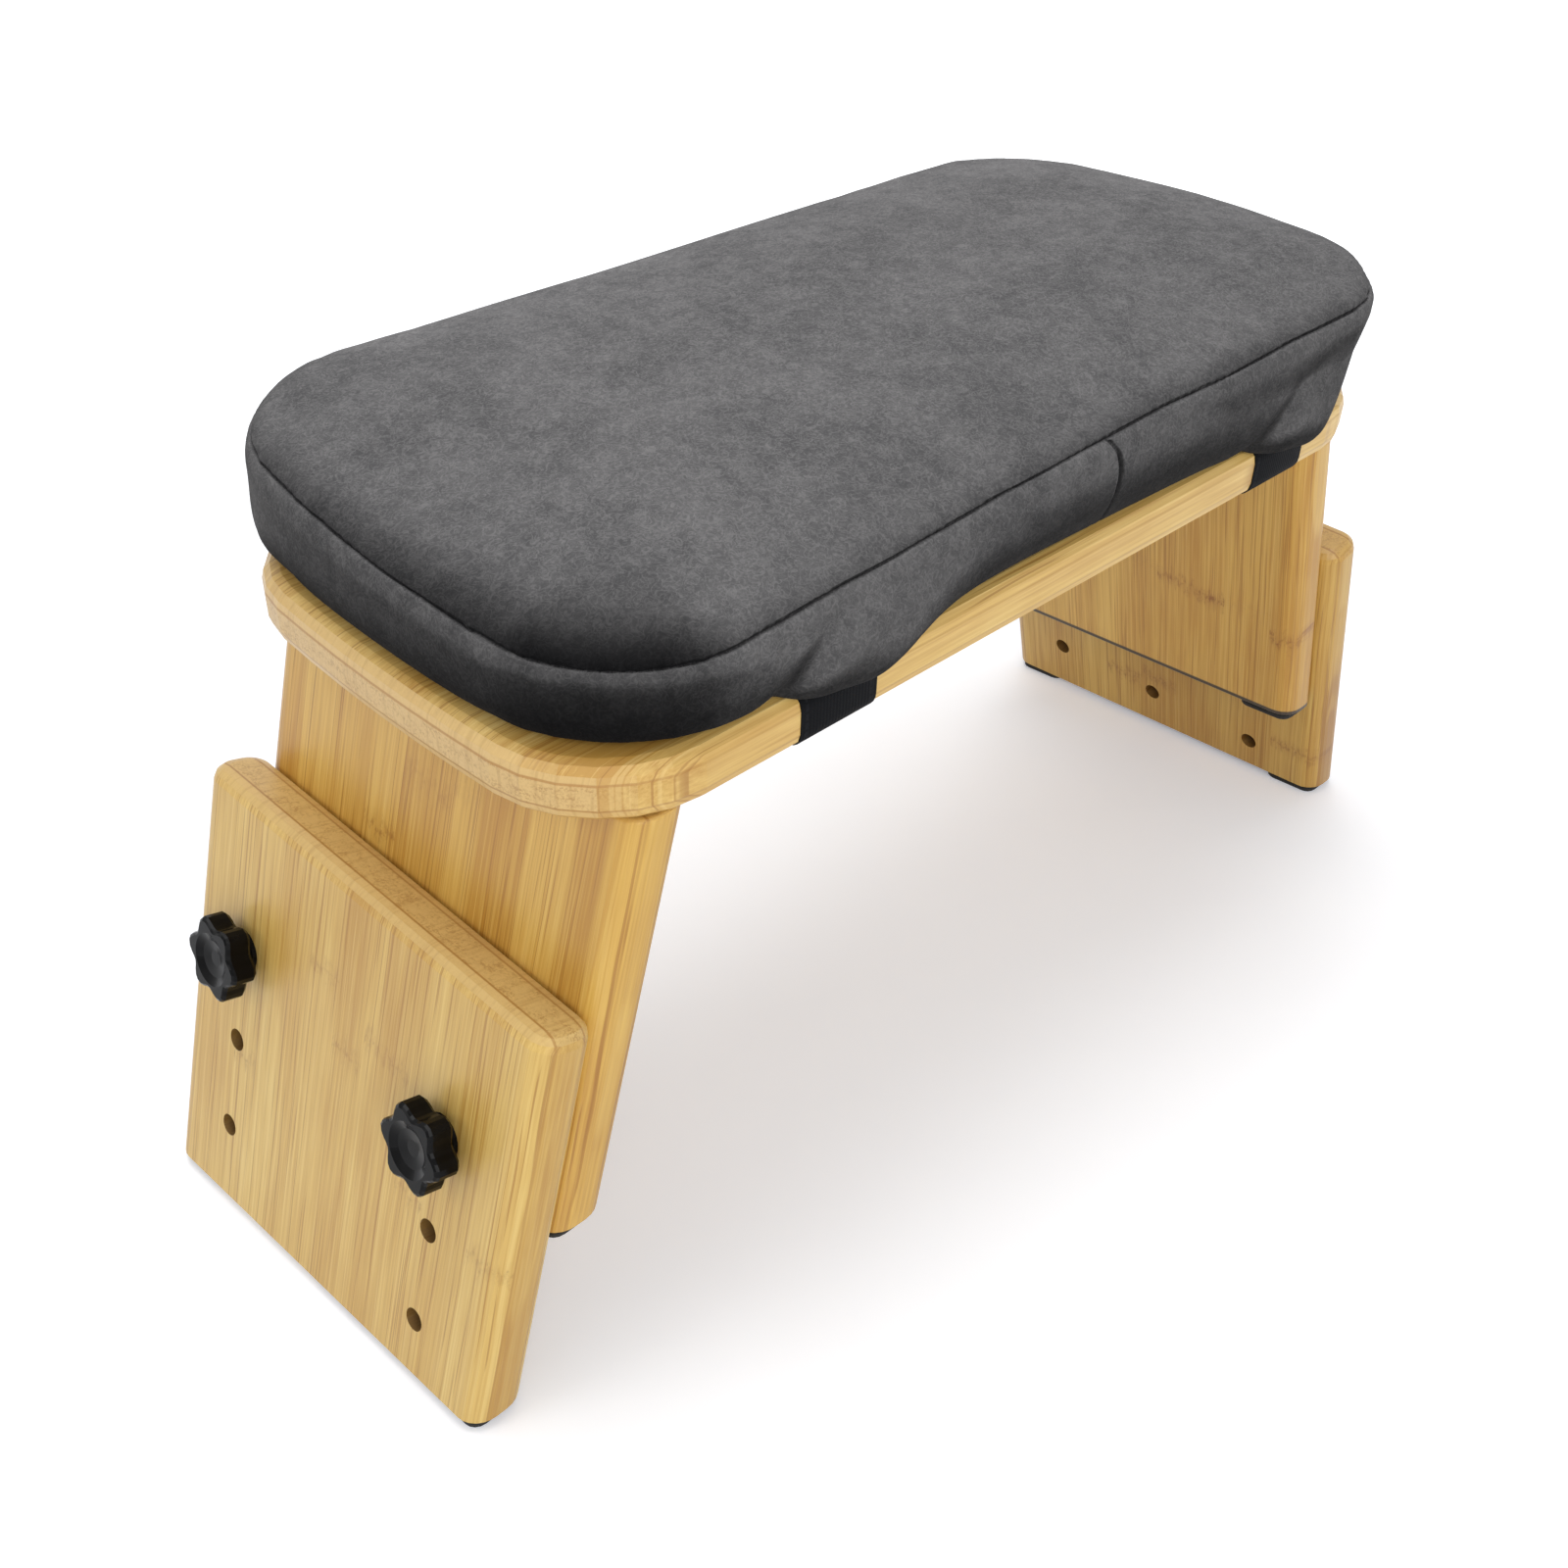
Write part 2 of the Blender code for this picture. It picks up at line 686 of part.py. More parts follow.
def pin_mesh():
    shank, head = PIN_DIAMETER / 2, PIN_HEAD_DIAMETER / 2
    near, far = HINGE_WIDTH / 2 + GAP, HINGE_WIDTH / 2 + GAP + PIN_HEAD
    profile = [(head, -far), (head, -near), (shank, -near), (shank, near), (head, near), (head, far)]
    return turned("pin", profile, SMALL_SIDES)


def make_hinges(side, hinge_line, leg, material):
    """Two butt hinges on one leg, each with two leaves, a pin and four screws."""
    seat_leaf, leg_leaf, pin, screw = leaf_mesh("seat"), leaf_mesh("leg"), pin_mesh(), screw_mesh()
    # Half a turn about the bisector of +X and +Z lays a leaf on the leg's inner face instead
    over = Matrix.Rotation(pi, 4, (1, 0, 1))
    for end, place_y in HINGE_PLACES.items():
        y = place_y * SIDES[side]
        spot = f"{side}_{end}"
        shift = Matrix.Translation((0, y, 0))
        place(f"hinge_seat_leaf_{spot}", seat_leaf, hinge_line, material, shift)
        place(f"hinge_leg_leaf_{spot}", leg_leaf, leg, material, shift @ over)
        place(f"hinge_pin_{spot}", pin, hinge_line, material, along_y(y))
        for n, step in enumerate((-1, 1), 1):
            offset = y + step * SCREW_SPACING / 2
            place(f"seat_screw_{spot}_{n}", screw, hinge_line, material, seat_screw_place(offset))
            place(f"leg_screw_{spot}_{n}", screw, leg, material, leg_screw_place(offset))


# The whole


def centre_on_floor(seat):
    """Moves the whole stool so that the middle of its bounding box stands on the origin."""
    bpy.context.view_layer.update()
    lows, highs = [], []
    for piece in bpy.context.scene.objects:
        if piece.type == "MESH":
            across = [(piece.matrix_world @ vertex.co).y for vertex in piece.data.vertices]
            lows.append(min(across))
            highs.append(max(across))
    seat.location.y -= (min(lows) + max(highs)) / 2


def make_frames():
    """The seat's frame and, for each side, those of its hinge line, leg and panel."""
    seat_place = Matrix.Translation((0, 0, UNDERSIDE_HEIGHT)) @ Matrix.Rotation(SEAT_TILT, 4, "X")
    seat = make_frame("seat_frame", None, seat_place)
    sides = {}
    for side, sign in SIDES.items():
        spot = Matrix.Translation((sign * pin_distance(), 0, -PIN_OFFSET))
        turn = Matrix.Rotation(0 if sign > 0 else pi, 4, "Z")
        hinge_line = make_frame(f"hinge_line_{side}", seat, spot @ turn)
        leg = make_frame(f"leg_frame_{side}", hinge_line, Matrix.Rotation(-LEG_SPLAY, 4, "Y"))
        sides[side] = (hinge_line, leg, make_frame(f"panel_frame_{side}", leg, Matrix()))
    bpy.context.view_layer.update()
    return seat, sides


def make_stool():
    clear_scene()
    materials = make_materials()
    seat, sides = make_frames()
    make_plank(seat, [hinge_line for hinge_line, leg, panel in sides.values()], materials["bamboo"])
    make_cushion(seat, materials["fabric"])
    leg_faces = (PIN_OFFSET, LEG_OUTER_FACE)
    panel_faces = (PANEL_INNER_FACE, PANEL_OUTER_FACE)
    rubber = materials["rubber"]
    for side, (hinge_line, leg, panel) in sides.items():
        foot = leg_foot_height(leg)
        make_strap(side, seat, materials["webbing"])
        make_leg(side, leg, materials["bamboo"])
        make_panel(side, panel, leg, materials["bamboo"])
        make_pads("leg", side, leg, leg, leg_faces, LEG_WIDTH, foot, rubber)
        make_pads("panel", side, panel, leg, panel_faces, PANEL_WIDTH, PAD_HEIGHT, rubber)
        make_knobs(side, panel, leg, materials)
        make_hinges(side, hinge_line, leg, materials["steel"])
    centre_on_floor(seat)


make_stool()
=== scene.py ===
import json
from math import cos, pi, radians, sin

import bpy
import numpy as np
from mathutils import Matrix, Vector
from mathutils.kdtree import KDTree


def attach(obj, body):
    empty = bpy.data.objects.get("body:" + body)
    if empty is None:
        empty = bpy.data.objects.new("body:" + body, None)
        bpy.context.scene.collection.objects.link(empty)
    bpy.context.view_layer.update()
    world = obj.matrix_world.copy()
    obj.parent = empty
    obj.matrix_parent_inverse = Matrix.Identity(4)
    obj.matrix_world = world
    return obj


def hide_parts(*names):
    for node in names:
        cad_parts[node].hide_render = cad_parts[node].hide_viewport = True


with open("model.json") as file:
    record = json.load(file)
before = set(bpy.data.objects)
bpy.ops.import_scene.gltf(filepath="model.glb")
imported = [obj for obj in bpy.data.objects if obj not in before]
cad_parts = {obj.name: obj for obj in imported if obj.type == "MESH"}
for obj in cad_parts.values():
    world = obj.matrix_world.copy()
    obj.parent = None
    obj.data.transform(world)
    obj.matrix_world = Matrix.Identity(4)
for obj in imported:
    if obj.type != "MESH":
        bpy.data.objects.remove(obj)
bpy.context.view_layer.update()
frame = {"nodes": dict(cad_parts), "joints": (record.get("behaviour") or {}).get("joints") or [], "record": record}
print("frame parts:", len(frame["nodes"]))

# %% [markdown]
# The seat slopes down to the front and the legs splay outwards, so each board has its own
# directions. They are read from the joints: a leg turns about the seat's own depth direction,
# and a panel comes off square to its face. Patterns and new pieces are laid out in these
# directions and only then turned into place.
# %% Directions of the boards
def joint_axis(name):
    return Vector(next(j["axis"] for j in frame["joints"] if j["name"] == name)).normalized()


def directions(x, y, origin):
    """The matrix from a board's own coordinates to the stool's."""
    z = x.cross(y)
    matrix = Matrix((x, y, z)).transposed().to_4x4()
    matrix.translation = origin
    return matrix


SEAT_DEPTH = joint_axis("right_leg_fold")
PIN_LEFT = Vector(next(j["pos_m"] for j in frame["joints"] if j["name"] == "left_leg_fold"))
PIN_RIGHT = Vector(next(j["pos_m"] for j in frame["joints"] if j["name"] == "right_leg_fold"))
PIN_BELOW_PLANK = 0.0038
SEAT_UP = Vector((1, 0, 0)).cross(SEAT_DEPTH)
SEAT_ORIGIN = (PIN_LEFT + PIN_RIGHT) / 2 + PIN_BELOW_PLANK * SEAT_UP
SEAT = directions(Vector((1, 0, 0)), SEAT_DEPTH, SEAT_ORIGIN)
LEFT = directions(joint_axis("left_panel_release"), -SEAT_DEPTH, PIN_LEFT)
RIGHT = directions(joint_axis("right_panel_release"), SEAT_DEPTH, PIN_RIGHT)
print("the left leg's own upward direction:", [round(v, 3) for v in LEFT.col[2][:3]])

# %% [markdown]
# The camera looks down on the left end from the front corner. Its place, turn and lens were
# worked out from the stool's straight edges. A camera looks along its own minus Z, so its
# three axes are written as the columns of its matrix.
# %% Camera
CAMERA_FROM_SEAT = Vector((-0.431020, -0.410804, 0.276457))
CAMERA_PLACE = SEAT_ORIGIN + CAMERA_FROM_SEAT
CAMERA_TURN = radians(46.552)
CAMERA_DROP = radians(-34.064)
CAMERA_ROLL = radians(-2.004)
LENS_PER_WIDTH = 1775.866 / 1600


def camera_axes():
    flat = cos(CAMERA_DROP)
    ahead = Vector((flat * cos(CAMERA_TURN), flat * sin(CAMERA_TURN), sin(CAMERA_DROP)))
    right = ahead.cross(Vector((0, 0, 1))).normalized()
    up = right.cross(ahead)
    rolled = cos(CAMERA_ROLL) * right + sin(CAMERA_ROLL) * up
    return rolled, cos(CAMERA_ROLL) * up - sin(CAMERA_ROLL) * right, -ahead


bpy.ops.object.camera_add()
camera = bpy.context.object
camera.matrix_world = Matrix(camera_axes()).transposed().to_4x4()
camera.location = CAMERA_PLACE
camera.data.lens = LENS_PER_WIDTH * camera.data.sensor_width
camera.data.clip_start = 0.01
bpy.context.scene.camera = camera
print("lens:", round(camera.data.lens, 1), "mm")

# %% [markdown]
# Materials are built from nodes, and a pattern soon needs dozens of small sums. So one class
# wraps a node's output, and adding or multiplying two of them makes the Math node. A bench
# holds the node tree of one material, and any other node comes from its one method.
# %% A bench for building materials
class Wire:
    """An output of a node that can be used in sums."""

    def __init__(self, bench, socket):
        self.bench = bench
        self.socket = socket

    def sum(self, operation, *values):
        return self.bench.add("ShaderNodeMath", {"operation": operation}, dict(enumerate(values)))

    def __add__(self, other):
        return self.sum("ADD", self, other)

    def __sub__(self, other):
        return self.sum("SUBTRACT", self, other)

    def __rsub__(self, other):
        return self.sum("SUBTRACT", other, self)

    def __mul__(self, other):
        return self.sum("MULTIPLY", self, other)

    def __truediv__(self, other):
        return self.sum("DIVIDE", self, other)

    __radd__ = __add__
    __rmul__ = __mul__

    def floor(self):
        return self.sum("FLOOR", self)

    def part(self):
        return self.sum("FRACT", self)

    def size(self):
        return self.sum("ABSOLUTE", self)

    def top(self, other):
        return self.sum("MAXIMUM", self, other)

    def low(self, other):
        return self.sum("MINIMUM", self, other)

    def wave(self, length):
        """A sine wave of this length."""
        return self.sum("SINE", self * (2 * pi / length))

    def step(self, start, end):
        """0 before start and 1 after end, smoothly."""
        settings = {"interpolation_type": "SMOOTHSTEP"}
        return self.bench.add("ShaderNodeMapRange", settings, {0: self, 1: start, 2: end})


class Bench:
    """The nodes of one material, or of the sky."""

    def __init__(self, owner):
        owner.use_nodes = True
        self.owner = owner
        self.nodes = owner.node_tree.nodes
        self.links = owner.node_tree.links
        self.nodes.clear()

    def add(self, kind, settings=None, inputs=None, output=0):
        node = self.nodes.new(kind)
        for key, value in (settings or {}).items():
            if key == "stops":
                self.set_stops(node.color_ramp, value)
            else:
                setattr(node, key, value)
        for key, value in (inputs or {}).items():
            if isinstance(value, Wire):
                self.links.new(value.socket, node.inputs[key])
            else:
                node.inputs[key].default_value = value
        return Wire(self, node.outputs[output]) if node.outputs else None

    def set_stops(self, ramp, stops):
        while len(ramp.elements) < len(stops):
            ramp.elements.new(1.0)
        for element, (place, colour) in zip(ramp.elements, stops):
            element.position = place
            element.color = (*colour, 1.0)

    def mix(self, share, first, second, blend="MIX"):
        settings = {"data_type": "RGBA", "blend_type": blend}
        return self.add("ShaderNodeMix", settings, {0: share, 6: first, 7: second}, 2)

    def place(self, matrix=None):
        """The point on the object, in a board's own coordinates where a matrix is given."""
        point = self.add("ShaderNodeTexCoord", output="Object")
        if matrix is None:
            return point
        inverse = matrix.inverted()
        inputs = {"Location": inverse.translation, "Rotation": inverse.to_euler()}
        return self.add("ShaderNodeMapping", {}, {"Vector": point, **inputs})

    def split(self, vector):
        node = self.add("ShaderNodeSeparateXYZ", {}, {0: vector}).socket.node
        return [Wire(self, out) for out in node.outputs]

    def join(self, x, y, z):
        return self.add("ShaderNodeCombineXYZ", {}, {0: x, 1: y, 2: z})

    def noise(self, vector, scale, detail=2.0, rough=0.5):
        inputs = {"Vector": vector, "Scale": scale, "Detail": detail, "Roughness": rough}
        return self.add("ShaderNodeTexNoise", {}, inputs)

    def random(self, number):
        return self.add("ShaderNodeTexWhiteNoise", {"noise_dimensions": "1D"}, {"W": number})

    def bump(self, height, strength, distance):
        inputs = {"Height": height, "Strength": strength, "Distance": distance}
        return self.add("ShaderNodeBump", {}, inputs)

    def finish(self, **inputs):
        """The main shader, linked to the output. Names are written with _ for a space."""
        named = {key.replace("_", " "): value for key, value in inputs.items()}
        shader = self.add("ShaderNodeBsdfPrincipled", {}, named)
        self.add("ShaderNodeOutputMaterial", {}, {"Surface": shader})
        return self.owner


def new_bench(name):
    return Bench(bpy.data.materials.new(name))


def linear(red, green, blue):
    """A colour as it is seen on a screen, 0 to 255, as the light it stands for."""
    shares = [value / 255 for value in (red, green, blue)]
    lit = [s / 12.92 if s <= 0.04045 else ((s + 0.055) / 1.055) ** 2.4 for s in shares]
    return (*lit, 1.0)


print("a mid grey is", round(linear(128, 128, 128)[0], 3), "as light")

# %% [markdown]
# Bamboo board is made of strips of the plant, laid side by side and glued, in three plies.
# Each strip has its own tone. Dark and pale hairs run along it, and now and then it crosses
# one of the plant's joints, which shows as a brown squiggle. Where a board is cut across, the
# ends of the fibres show as a speckled core between two paler plies. All this is drawn in the
# board's own directions.
# %% Colours and sizes of the bamboo
HONEY_DARK = (192, 146, 72)
HONEY = (219, 182, 110)
HONEY_PALE = (238, 209, 145)
HAIR_BROWN = (158, 106, 40)
JOINT_BROWN = (150, 98, 40)
CUT_END = (212, 178, 122)
CUT_SPECK = (164, 120, 64)
STRIP_WIDTH = 0.0200
JOINT_PITCH = 0.210
PLY = 0.0055
HOLE_SHADE_BROWN = (92, 58, 24)
HOLE_FROM_EDGE = 0.0070
# The painted shadow along the right leg's foot: its colour, the foot's height and the line's width
GAP_SHADOW_BROWN = (30, 20, 12)
LEG_FOOT = 0.0641
GAP_SHADOW_LINE = 0.0026


def tinted(colour, tint):
    """A board's tint of a colour, as light: partly the board's own tone, partly painted shade."""
    return tuple(share * part for share, part in zip(linear(*colour)[:3], tint)) + (1.0,)


print("the strips are about", round(STRIP_WIDTH * 1000), "mm wide")

# %% Bamboo, strip by strip
def strips(bench, wide, seed):
    """The number of the strip, of uneven width, at a place across the board."""
    slow = (wide + seed * 0.013).wave(0.047) * 0.0028
    quick = (wide + seed * 0.005).wave(0.029) * 0.0016
    return ((wide + (slow + quick)) / STRIP_WIDTH + seed * 7.31).floor()


def grain_face(bench, run, wide, deep, seed, tint):
    """The long face of the boards: strips, streaks and hairs."""
    strip = strips(bench, wide, seed)
    tone = bench.random(strip + seed)
    stray = bench.noise(bench.join(wide * 25, run * 7, seed), 1.0, 2.0, 0.5) * 0.0035
    line = wide + stray
    streaks = bench.noise(bench.join(line * 560, run * 7, strip * 4.1), 1.0, 3.0, 0.7)
    drift = bench.noise(bench.join(wide * 34, run * 9, deep * 28), 1.0, 3.0, 0.6)
    hairs = bench.noise(bench.join(line * 1050, run * 13, deep * 700), 1.0, 3.0, 0.7)
    shade = tone * 0.24 + streaks * 0.30 + hairs * 0.72 + drift * 0.62 - 0.54
    stops = [(0.20, HONEY_DARK), (0.50, HONEY), (0.80, HONEY_PALE)]
    stops = [(place, tinted(colour, tint)[:3]) for place, colour in stops]
    face = bench.add("ShaderNodeValToRGB", {"stops": stops}, {0: shade})
    thin = bench.noise(bench.join(line * 900, run * 8, strip * 2.3), 1.0, 2.0, 0.6)
    broad = bench.noise(bench.join(line * 120, run * 6, strip * 5.7), 1.0, 3.0, 0.6)
    face = bench.mix(thin.step(0.58, 0.64) * 0.60, face, tinted(HAIR_BROWN, tint))
    face = bench.mix(broad.step(0.55, 0.80) * 0.24, face, tinted(HAIR_BROWN, tint))
    face = bench.mix((1 - thin.step(0.34, 0.42)) * 0.35, face, tinted(HONEY_PALE, tint))
    return face, strip, hairs


def plant_joints(bench, face, run, wide, strip, seed, tint, joints):
    """Brown squiggles where a strip crosses a joint of the plant, most at about one height."""
    height, scatter, depth = joints
    luck = bench.random(strip * 1.7 + seed + 31.0)
    chance = (luck - 0.5) * scatter + (0.5 - height / JOINT_PITCH)
    wobble = bench.noise(bench.join(wide * 330, run * 50, seed), 1.0, 3.0, 0.7) * 0.020
    place = ((run + chance * JOINT_PITCH + wobble) / JOINT_PITCH).part() - 0.5
    away = place.size() * JOINT_PITCH
    ragged = bench.noise(bench.join(wide * 300, run * 420, seed), 1.0, 3.0, 0.7).step(0.42, 0.62)
    flecks = bench.noise(bench.join(wide * 520, run * 170, seed + 9.0), 1.0, 2.0, 0.6)
    flecks = flecks.step(0.50, 0.62)
    line = (1 - away.step(0.0003, 0.0018)) * ragged
    halo = 1 - away.step(0.0010, 0.0075)
    mark = (line * 0.34 + halo * flecks * 0.36 + halo * 0.14) * luck.step(0.15, 0.55) * depth
    return bench.mix(mark, face, tinted(JOINT_BROWN, tint))


def cut_face(bench, run, wide, deep, plies, tint):
    """The cut end: a speckled core between two smoother plies."""
    speck = bench.noise(bench.join(wide * 1100, run * 900, deep * 1100), 1.0, 3.0, 0.7)
    blot = bench.noise(bench.join(wide * 150, run * 90, deep * 330), 1.0, 3.0, 0.6)
    low, high = plies
    inner = deep.step(low - 0.0004, low + 0.0004) * (1 - deep.step(high - 0.0004, high + 0.0004))
    dots = speck.step(0.44, 0.62) * blot.step(0.30, 0.66) * (inner * 0.52 + 0.16)
    cut = bench.mix(dots, tinted(CUT_END, tint), tinted(CUT_SPECK, tint))
    rays = bench.noise(bench.join(wide * 700, run * 60, deep * 40), 1.0, 2.0, 0.6).step(0.5, 0.7)
    return bench.mix(rays * 0.30, cut, tinted(CUT_SPECK, tint))


def glue_lines(deep, plies):
    """1 where the plies meet."""
    low, high = plies
    return 1 - (deep - low).size().low((deep - high).size()).step(0.0002, 0.0006)


# %% Bamboo boards
def own_box(node, matrix):
    """The low and high corner of a board in its own coordinates."""
    inverse = matrix.inverted()
    own = np.array([inverse @ vertex.co for vertex in frame["nodes"][node].data.vertices])
    return own.min(axis=0), own.max(axis=0)


def in_holes(place, box, axis, square):
    """1 on the walls of the holes, where shade is painted: well inside the outline, and square to the face."""
    inside = 1 - square
    for k in (0, 1, 2):
        if k != axis:
            low, high = float(box[0][k]), float(box[1][k])
            gap = (place[k] - low).low(high - place[k])
            inside = inside * gap.step(HOLE_FROM_EDGE, HOLE_FROM_EDGE + 0.0010)
    return inside


def bamboo(node, matrix, axes, seed, tint, joints):
    """A board's material. The axes are the ones that run along, across and through the board,
    and the joints are given by their height, their scatter and how dark they are."""
    bench = new_bench("bamboo_" + node)
    own = bench.split(bench.place(matrix))
    run, wide, deep = [own[axis] for axis in axes]
    box = own_box(node, matrix)
    plies = (float(box[0][axes[2]]) + PLY, float(box[1][axes[2]]) - PLY)
    face, strip, hairs = grain_face(bench, run, wide, deep, seed, tint)
    face = plant_joints(bench, face, run, wide, strip, seed, tint, joints)
    facing = bench.add("ShaderNodeTexCoord", output="Normal")
    ways = [matrix.col[axis].to_3d() for axis in axes]
    turns = [bench.add("ShaderNodeVectorMath", {"operation": "DOT_PRODUCT"}, {0: facing, 1: way},
                       "Value").size() for way in ways]
    cut = cut_face(bench, run, wide, deep, plies, tint)
    colour = bench.mix(turns[0].step(0.45, 0.80), face, cut)
    edge = 1 - turns[2].step(0.55, 0.85)
    glue = glue_lines(deep, plies) * edge * (turns[0] * 0.40 + 0.30)
    colour = bench.mix(glue, colour, tinted(HAIR_BROWN, tint))
    if node.startswith("panel"):
        # Painted shade: the walls of the holes are dark brown
        holes = in_holes(own, box, axes[2], turns[2].step(0.30, 0.60))
        colour = bench.mix(holes * 0.80, colour, linear(*HOLE_SHADE_BROWN))
    # Painted shadow: a dark line along the right leg's foot, for the shaded gap between the leg and the panel
    if node == "leg_right":
        height = bench.split(bench.place())[2]
        gap_shadow = 1 - height.step(LEG_FOOT + GAP_SHADOW_LINE, LEG_FOOT + GAP_SHADOW_LINE + 0.0008)
        colour = bench.mix(gap_shadow * 0.95, colour, linear(*GAP_SHADOW_BROWN))
    return bench.finish(
        Base_Color=colour,
        Roughness=0.36 + hairs * 0.16,
        Normal=bench.bump(hairs, 0.30, 0.0004),
        Coat_Weight=0.15,
        Coat_Roughness=0.28,
    )


LENGTHWISE, UPRIGHT = (0, 1, 2), (2, 1, 0)
# Each board's directions, axes, seed, tint and joints. The tints are partly each board's own tone and partly
# painted shade: the legs and the right panel, which lie in the seat's shade, are darker and more amber
BOARDS = {
    "seat_plank": (SEAT, LENGTHWISE, 1.0, (1.0, 1.0, 0.90), (0.0, 1.0, 0.8)),
    "leg_left": (LEFT, UPRIGHT, 2.0, (0.92, 0.85, 0.54), (-0.060, 1.0, 1.0)),
    "leg_right": (RIGHT, UPRIGHT, 3.0, (0.96, 0.90, 0.60), (-0.088, 0.07, 1.4)),
    "panel_left": (LEFT, UPRIGHT, 4.0, (0.94, 0.95, 0.80), (-0.060, 1.0, 0.6)),
    "panel_right": (RIGHT, UPRIGHT, 5.0, (0.86, 0.80, 0.54), (-0.140, 0.5, 1.0)),
}


def dress(node, material):
    slots = frame["nodes"][node].data.materials
    slots.clear()
    slots.append(material)


for node, board in BOARDS.items():
    dress(node, bamboo(node, *board))
print("boards given their grain:", len(BOARDS))

# %% [markdown]
# The knobs are moulded from hard black plastic. It is glossy, but a mould is never perfectly
# even, so the surface has a faint orange-peel wave and dull places where hands touch it.
# Rubber is nearly as black and quite matt, and has a fine pitted skin. The hinges, screws and
# studs are plated steel and the inserts are brass. The washers are painted near black, as
# painted shade between the knobs and the panels.
# %% Plastic and rubber
def knob_plastic():
    bench = new_bench("knob_plastic")
    point = bench.place()
    wave = bench.noise(point, 260.0, 2.0)
    touch = bench.noise(point, 90.0, 3.0).step(0.40, 0.70)
    return bench.finish(
        Base_Color=bench.mix(touch, linear(5, 5, 6), linear(11, 11, 12)),
        Roughness=0.14 + touch * 0.10,
        Normal=bench.bump(wave, 0.04, 0.0003),
        Specular_IOR_Level=0.10,
    )


def pad_rubber():
    bench = new_bench("pad_rubber")
    point = bench.place()
    pits = bench.noise(point, 1400.0, 3.0, 0.6)
    worn = bench.noise(point, 120.0, 2.0)
    return bench.finish(
        Base_Color=bench.mix(worn, linear(24, 24, 24), linear(38, 37, 36)),
        Roughness=0.78 + pits * 0.15,
        Normal=bench.bump(pits, 0.35, 0.0002),
    )


# %% Steel and brass
def turned_metal(name, dark, pale, roughness):
    bench = new_bench(name)
    point = bench.place()
    marks = bench.noise(point, 900.0, 3.0, 0.6)
    bloom = bench.noise(point, 140.0, 3.0).step(0.3, 0.7)
    return bench.finish(
        Base_Color=bench.mix(bloom, dark, pale),
        Metallic=1.0,
        Roughness=roughness + marks * 0.18,
        Normal=bench.bump(marks, 0.12, 0.0001),
    )


FINISHES = {
    "plastic": knob_plastic(),
    "rubber": pad_rubber(),
    "steel": turned_metal("zinc_steel", linear(176, 176, 174), linear(205, 204, 200), 0.24),
    "brass": turned_metal("turned_brass", linear(196, 160, 84), linear(222, 190, 118), 0.26),
}
# Painted shade: the washers are near-black steel, for the shade between the knobs and the panels
SHADED_WASHER = turned_metal("blackened_steel", linear(22, 22, 23), linear(36, 35, 34), 0.40)
for entry in frame["record"]["subparts"]:
    if entry["material_slot"] in FINISHES:
        dress(entry["node"], FINISHES[entry["material_slot"]])
    if entry["node"].startswith("washer"):
        dress(entry["node"], SHADED_WASHER)
print("small parts finished in:", ", ".join(sorted(FINISHES)))

# %% [markdown]
# The cushion is a pad of foam in a sewn cover: a flat underside, an upright band round the
# edge, and a top panel that crowns because the foam pushes against it. It lies slightly
# turned on the plank, and the band is lowest at the front left corner, where the cover is
# dragged down. Its plan, seam and crown are written as sizes, and the rings follow from them.
# %% Sizes of the cushion
PLANK_TOP = 0.020
FOOT = PLANK_TOP + 0.0006
HALF_LENGTH, HALF_DEPTH = 0.2103, 0.1079
CUSHION_CORNER = 0.0486
END_BULGE = 0.0122
WAIST = 0.0037
CUSHION_MIDDLE = (0.0040, 0.0061)
CUSHION_TURN = -0.0147
SEAM_HEIGHT = 0.0397
RISE_RIGHT, RISE_BACK, TWIST = 0.0070, 0.0031, 0.0040
CROWN = 0.0112
CROWN_FULLNESS = 2.85
SEAM_INSET = 0.0005
FOOT_INSET = 0.0059
FOOT_SHIFT = (-0.0041, 0.0007)
TUCK_RIGHT, TUCK_LEFT = 0.0160, 0.0030
TUCK_CORNER = 0.0280
BACK_FULLNESS = 0.0056
COLUMNS = 400
OUTLINE_STEPS = 720
FOOT_RINGS, TOP_RINGS = 10, 32


def outline_point(angle):
    """A point of a plain rounded rectangle."""
    quarter = int(angle // (pi / 2)) % 4
    sx, sy = ((1, 1), (-1, 1), (-1, -1), (1, -1))[quarter]
    x = sx * (HALF_LENGTH - CUSHION_CORNER) + CUSHION_CORNER * cos(angle)
    y = sy * (HALF_DEPTH - CUSHION_CORNER) + CUSHION_CORNER * sin(angle)
    return x, y


def even_outline(count):
    """The outline as count points at even distances, bent to its bulge and waist."""
    angles = [2 * pi * (k + 0.5) / OUTLINE_STEPS for k in range(OUTLINE_STEPS)]
    rough = np.array([outline_point(angle) for angle in angles])
    closed = np.vstack([rough, rough[:1]])
    run = np.concatenate([[0], np.cumsum(np.linalg.norm(np.diff(closed, axis=0), axis=1))])
    wanted = np.linspace(0, run[-1], count, endpoint=False)
    x, y = [np.interp(wanted, run, closed[:, k]) for k in (0, 1)]
    along, across = x / HALF_LENGTH, y / HALF_DEPTH
    x = x - END_BULGE * across * across * along
    y = y - WAIST * (0.5 + 0.5 * np.cos(pi * along)) * across
    return x, y


OUT_X, OUT_Y = even_outline(COLUMNS)
print("cushion plan:", round(2 * OUT_X.max(), 3), "x", round(2 * OUT_Y.max(), 3), "m")

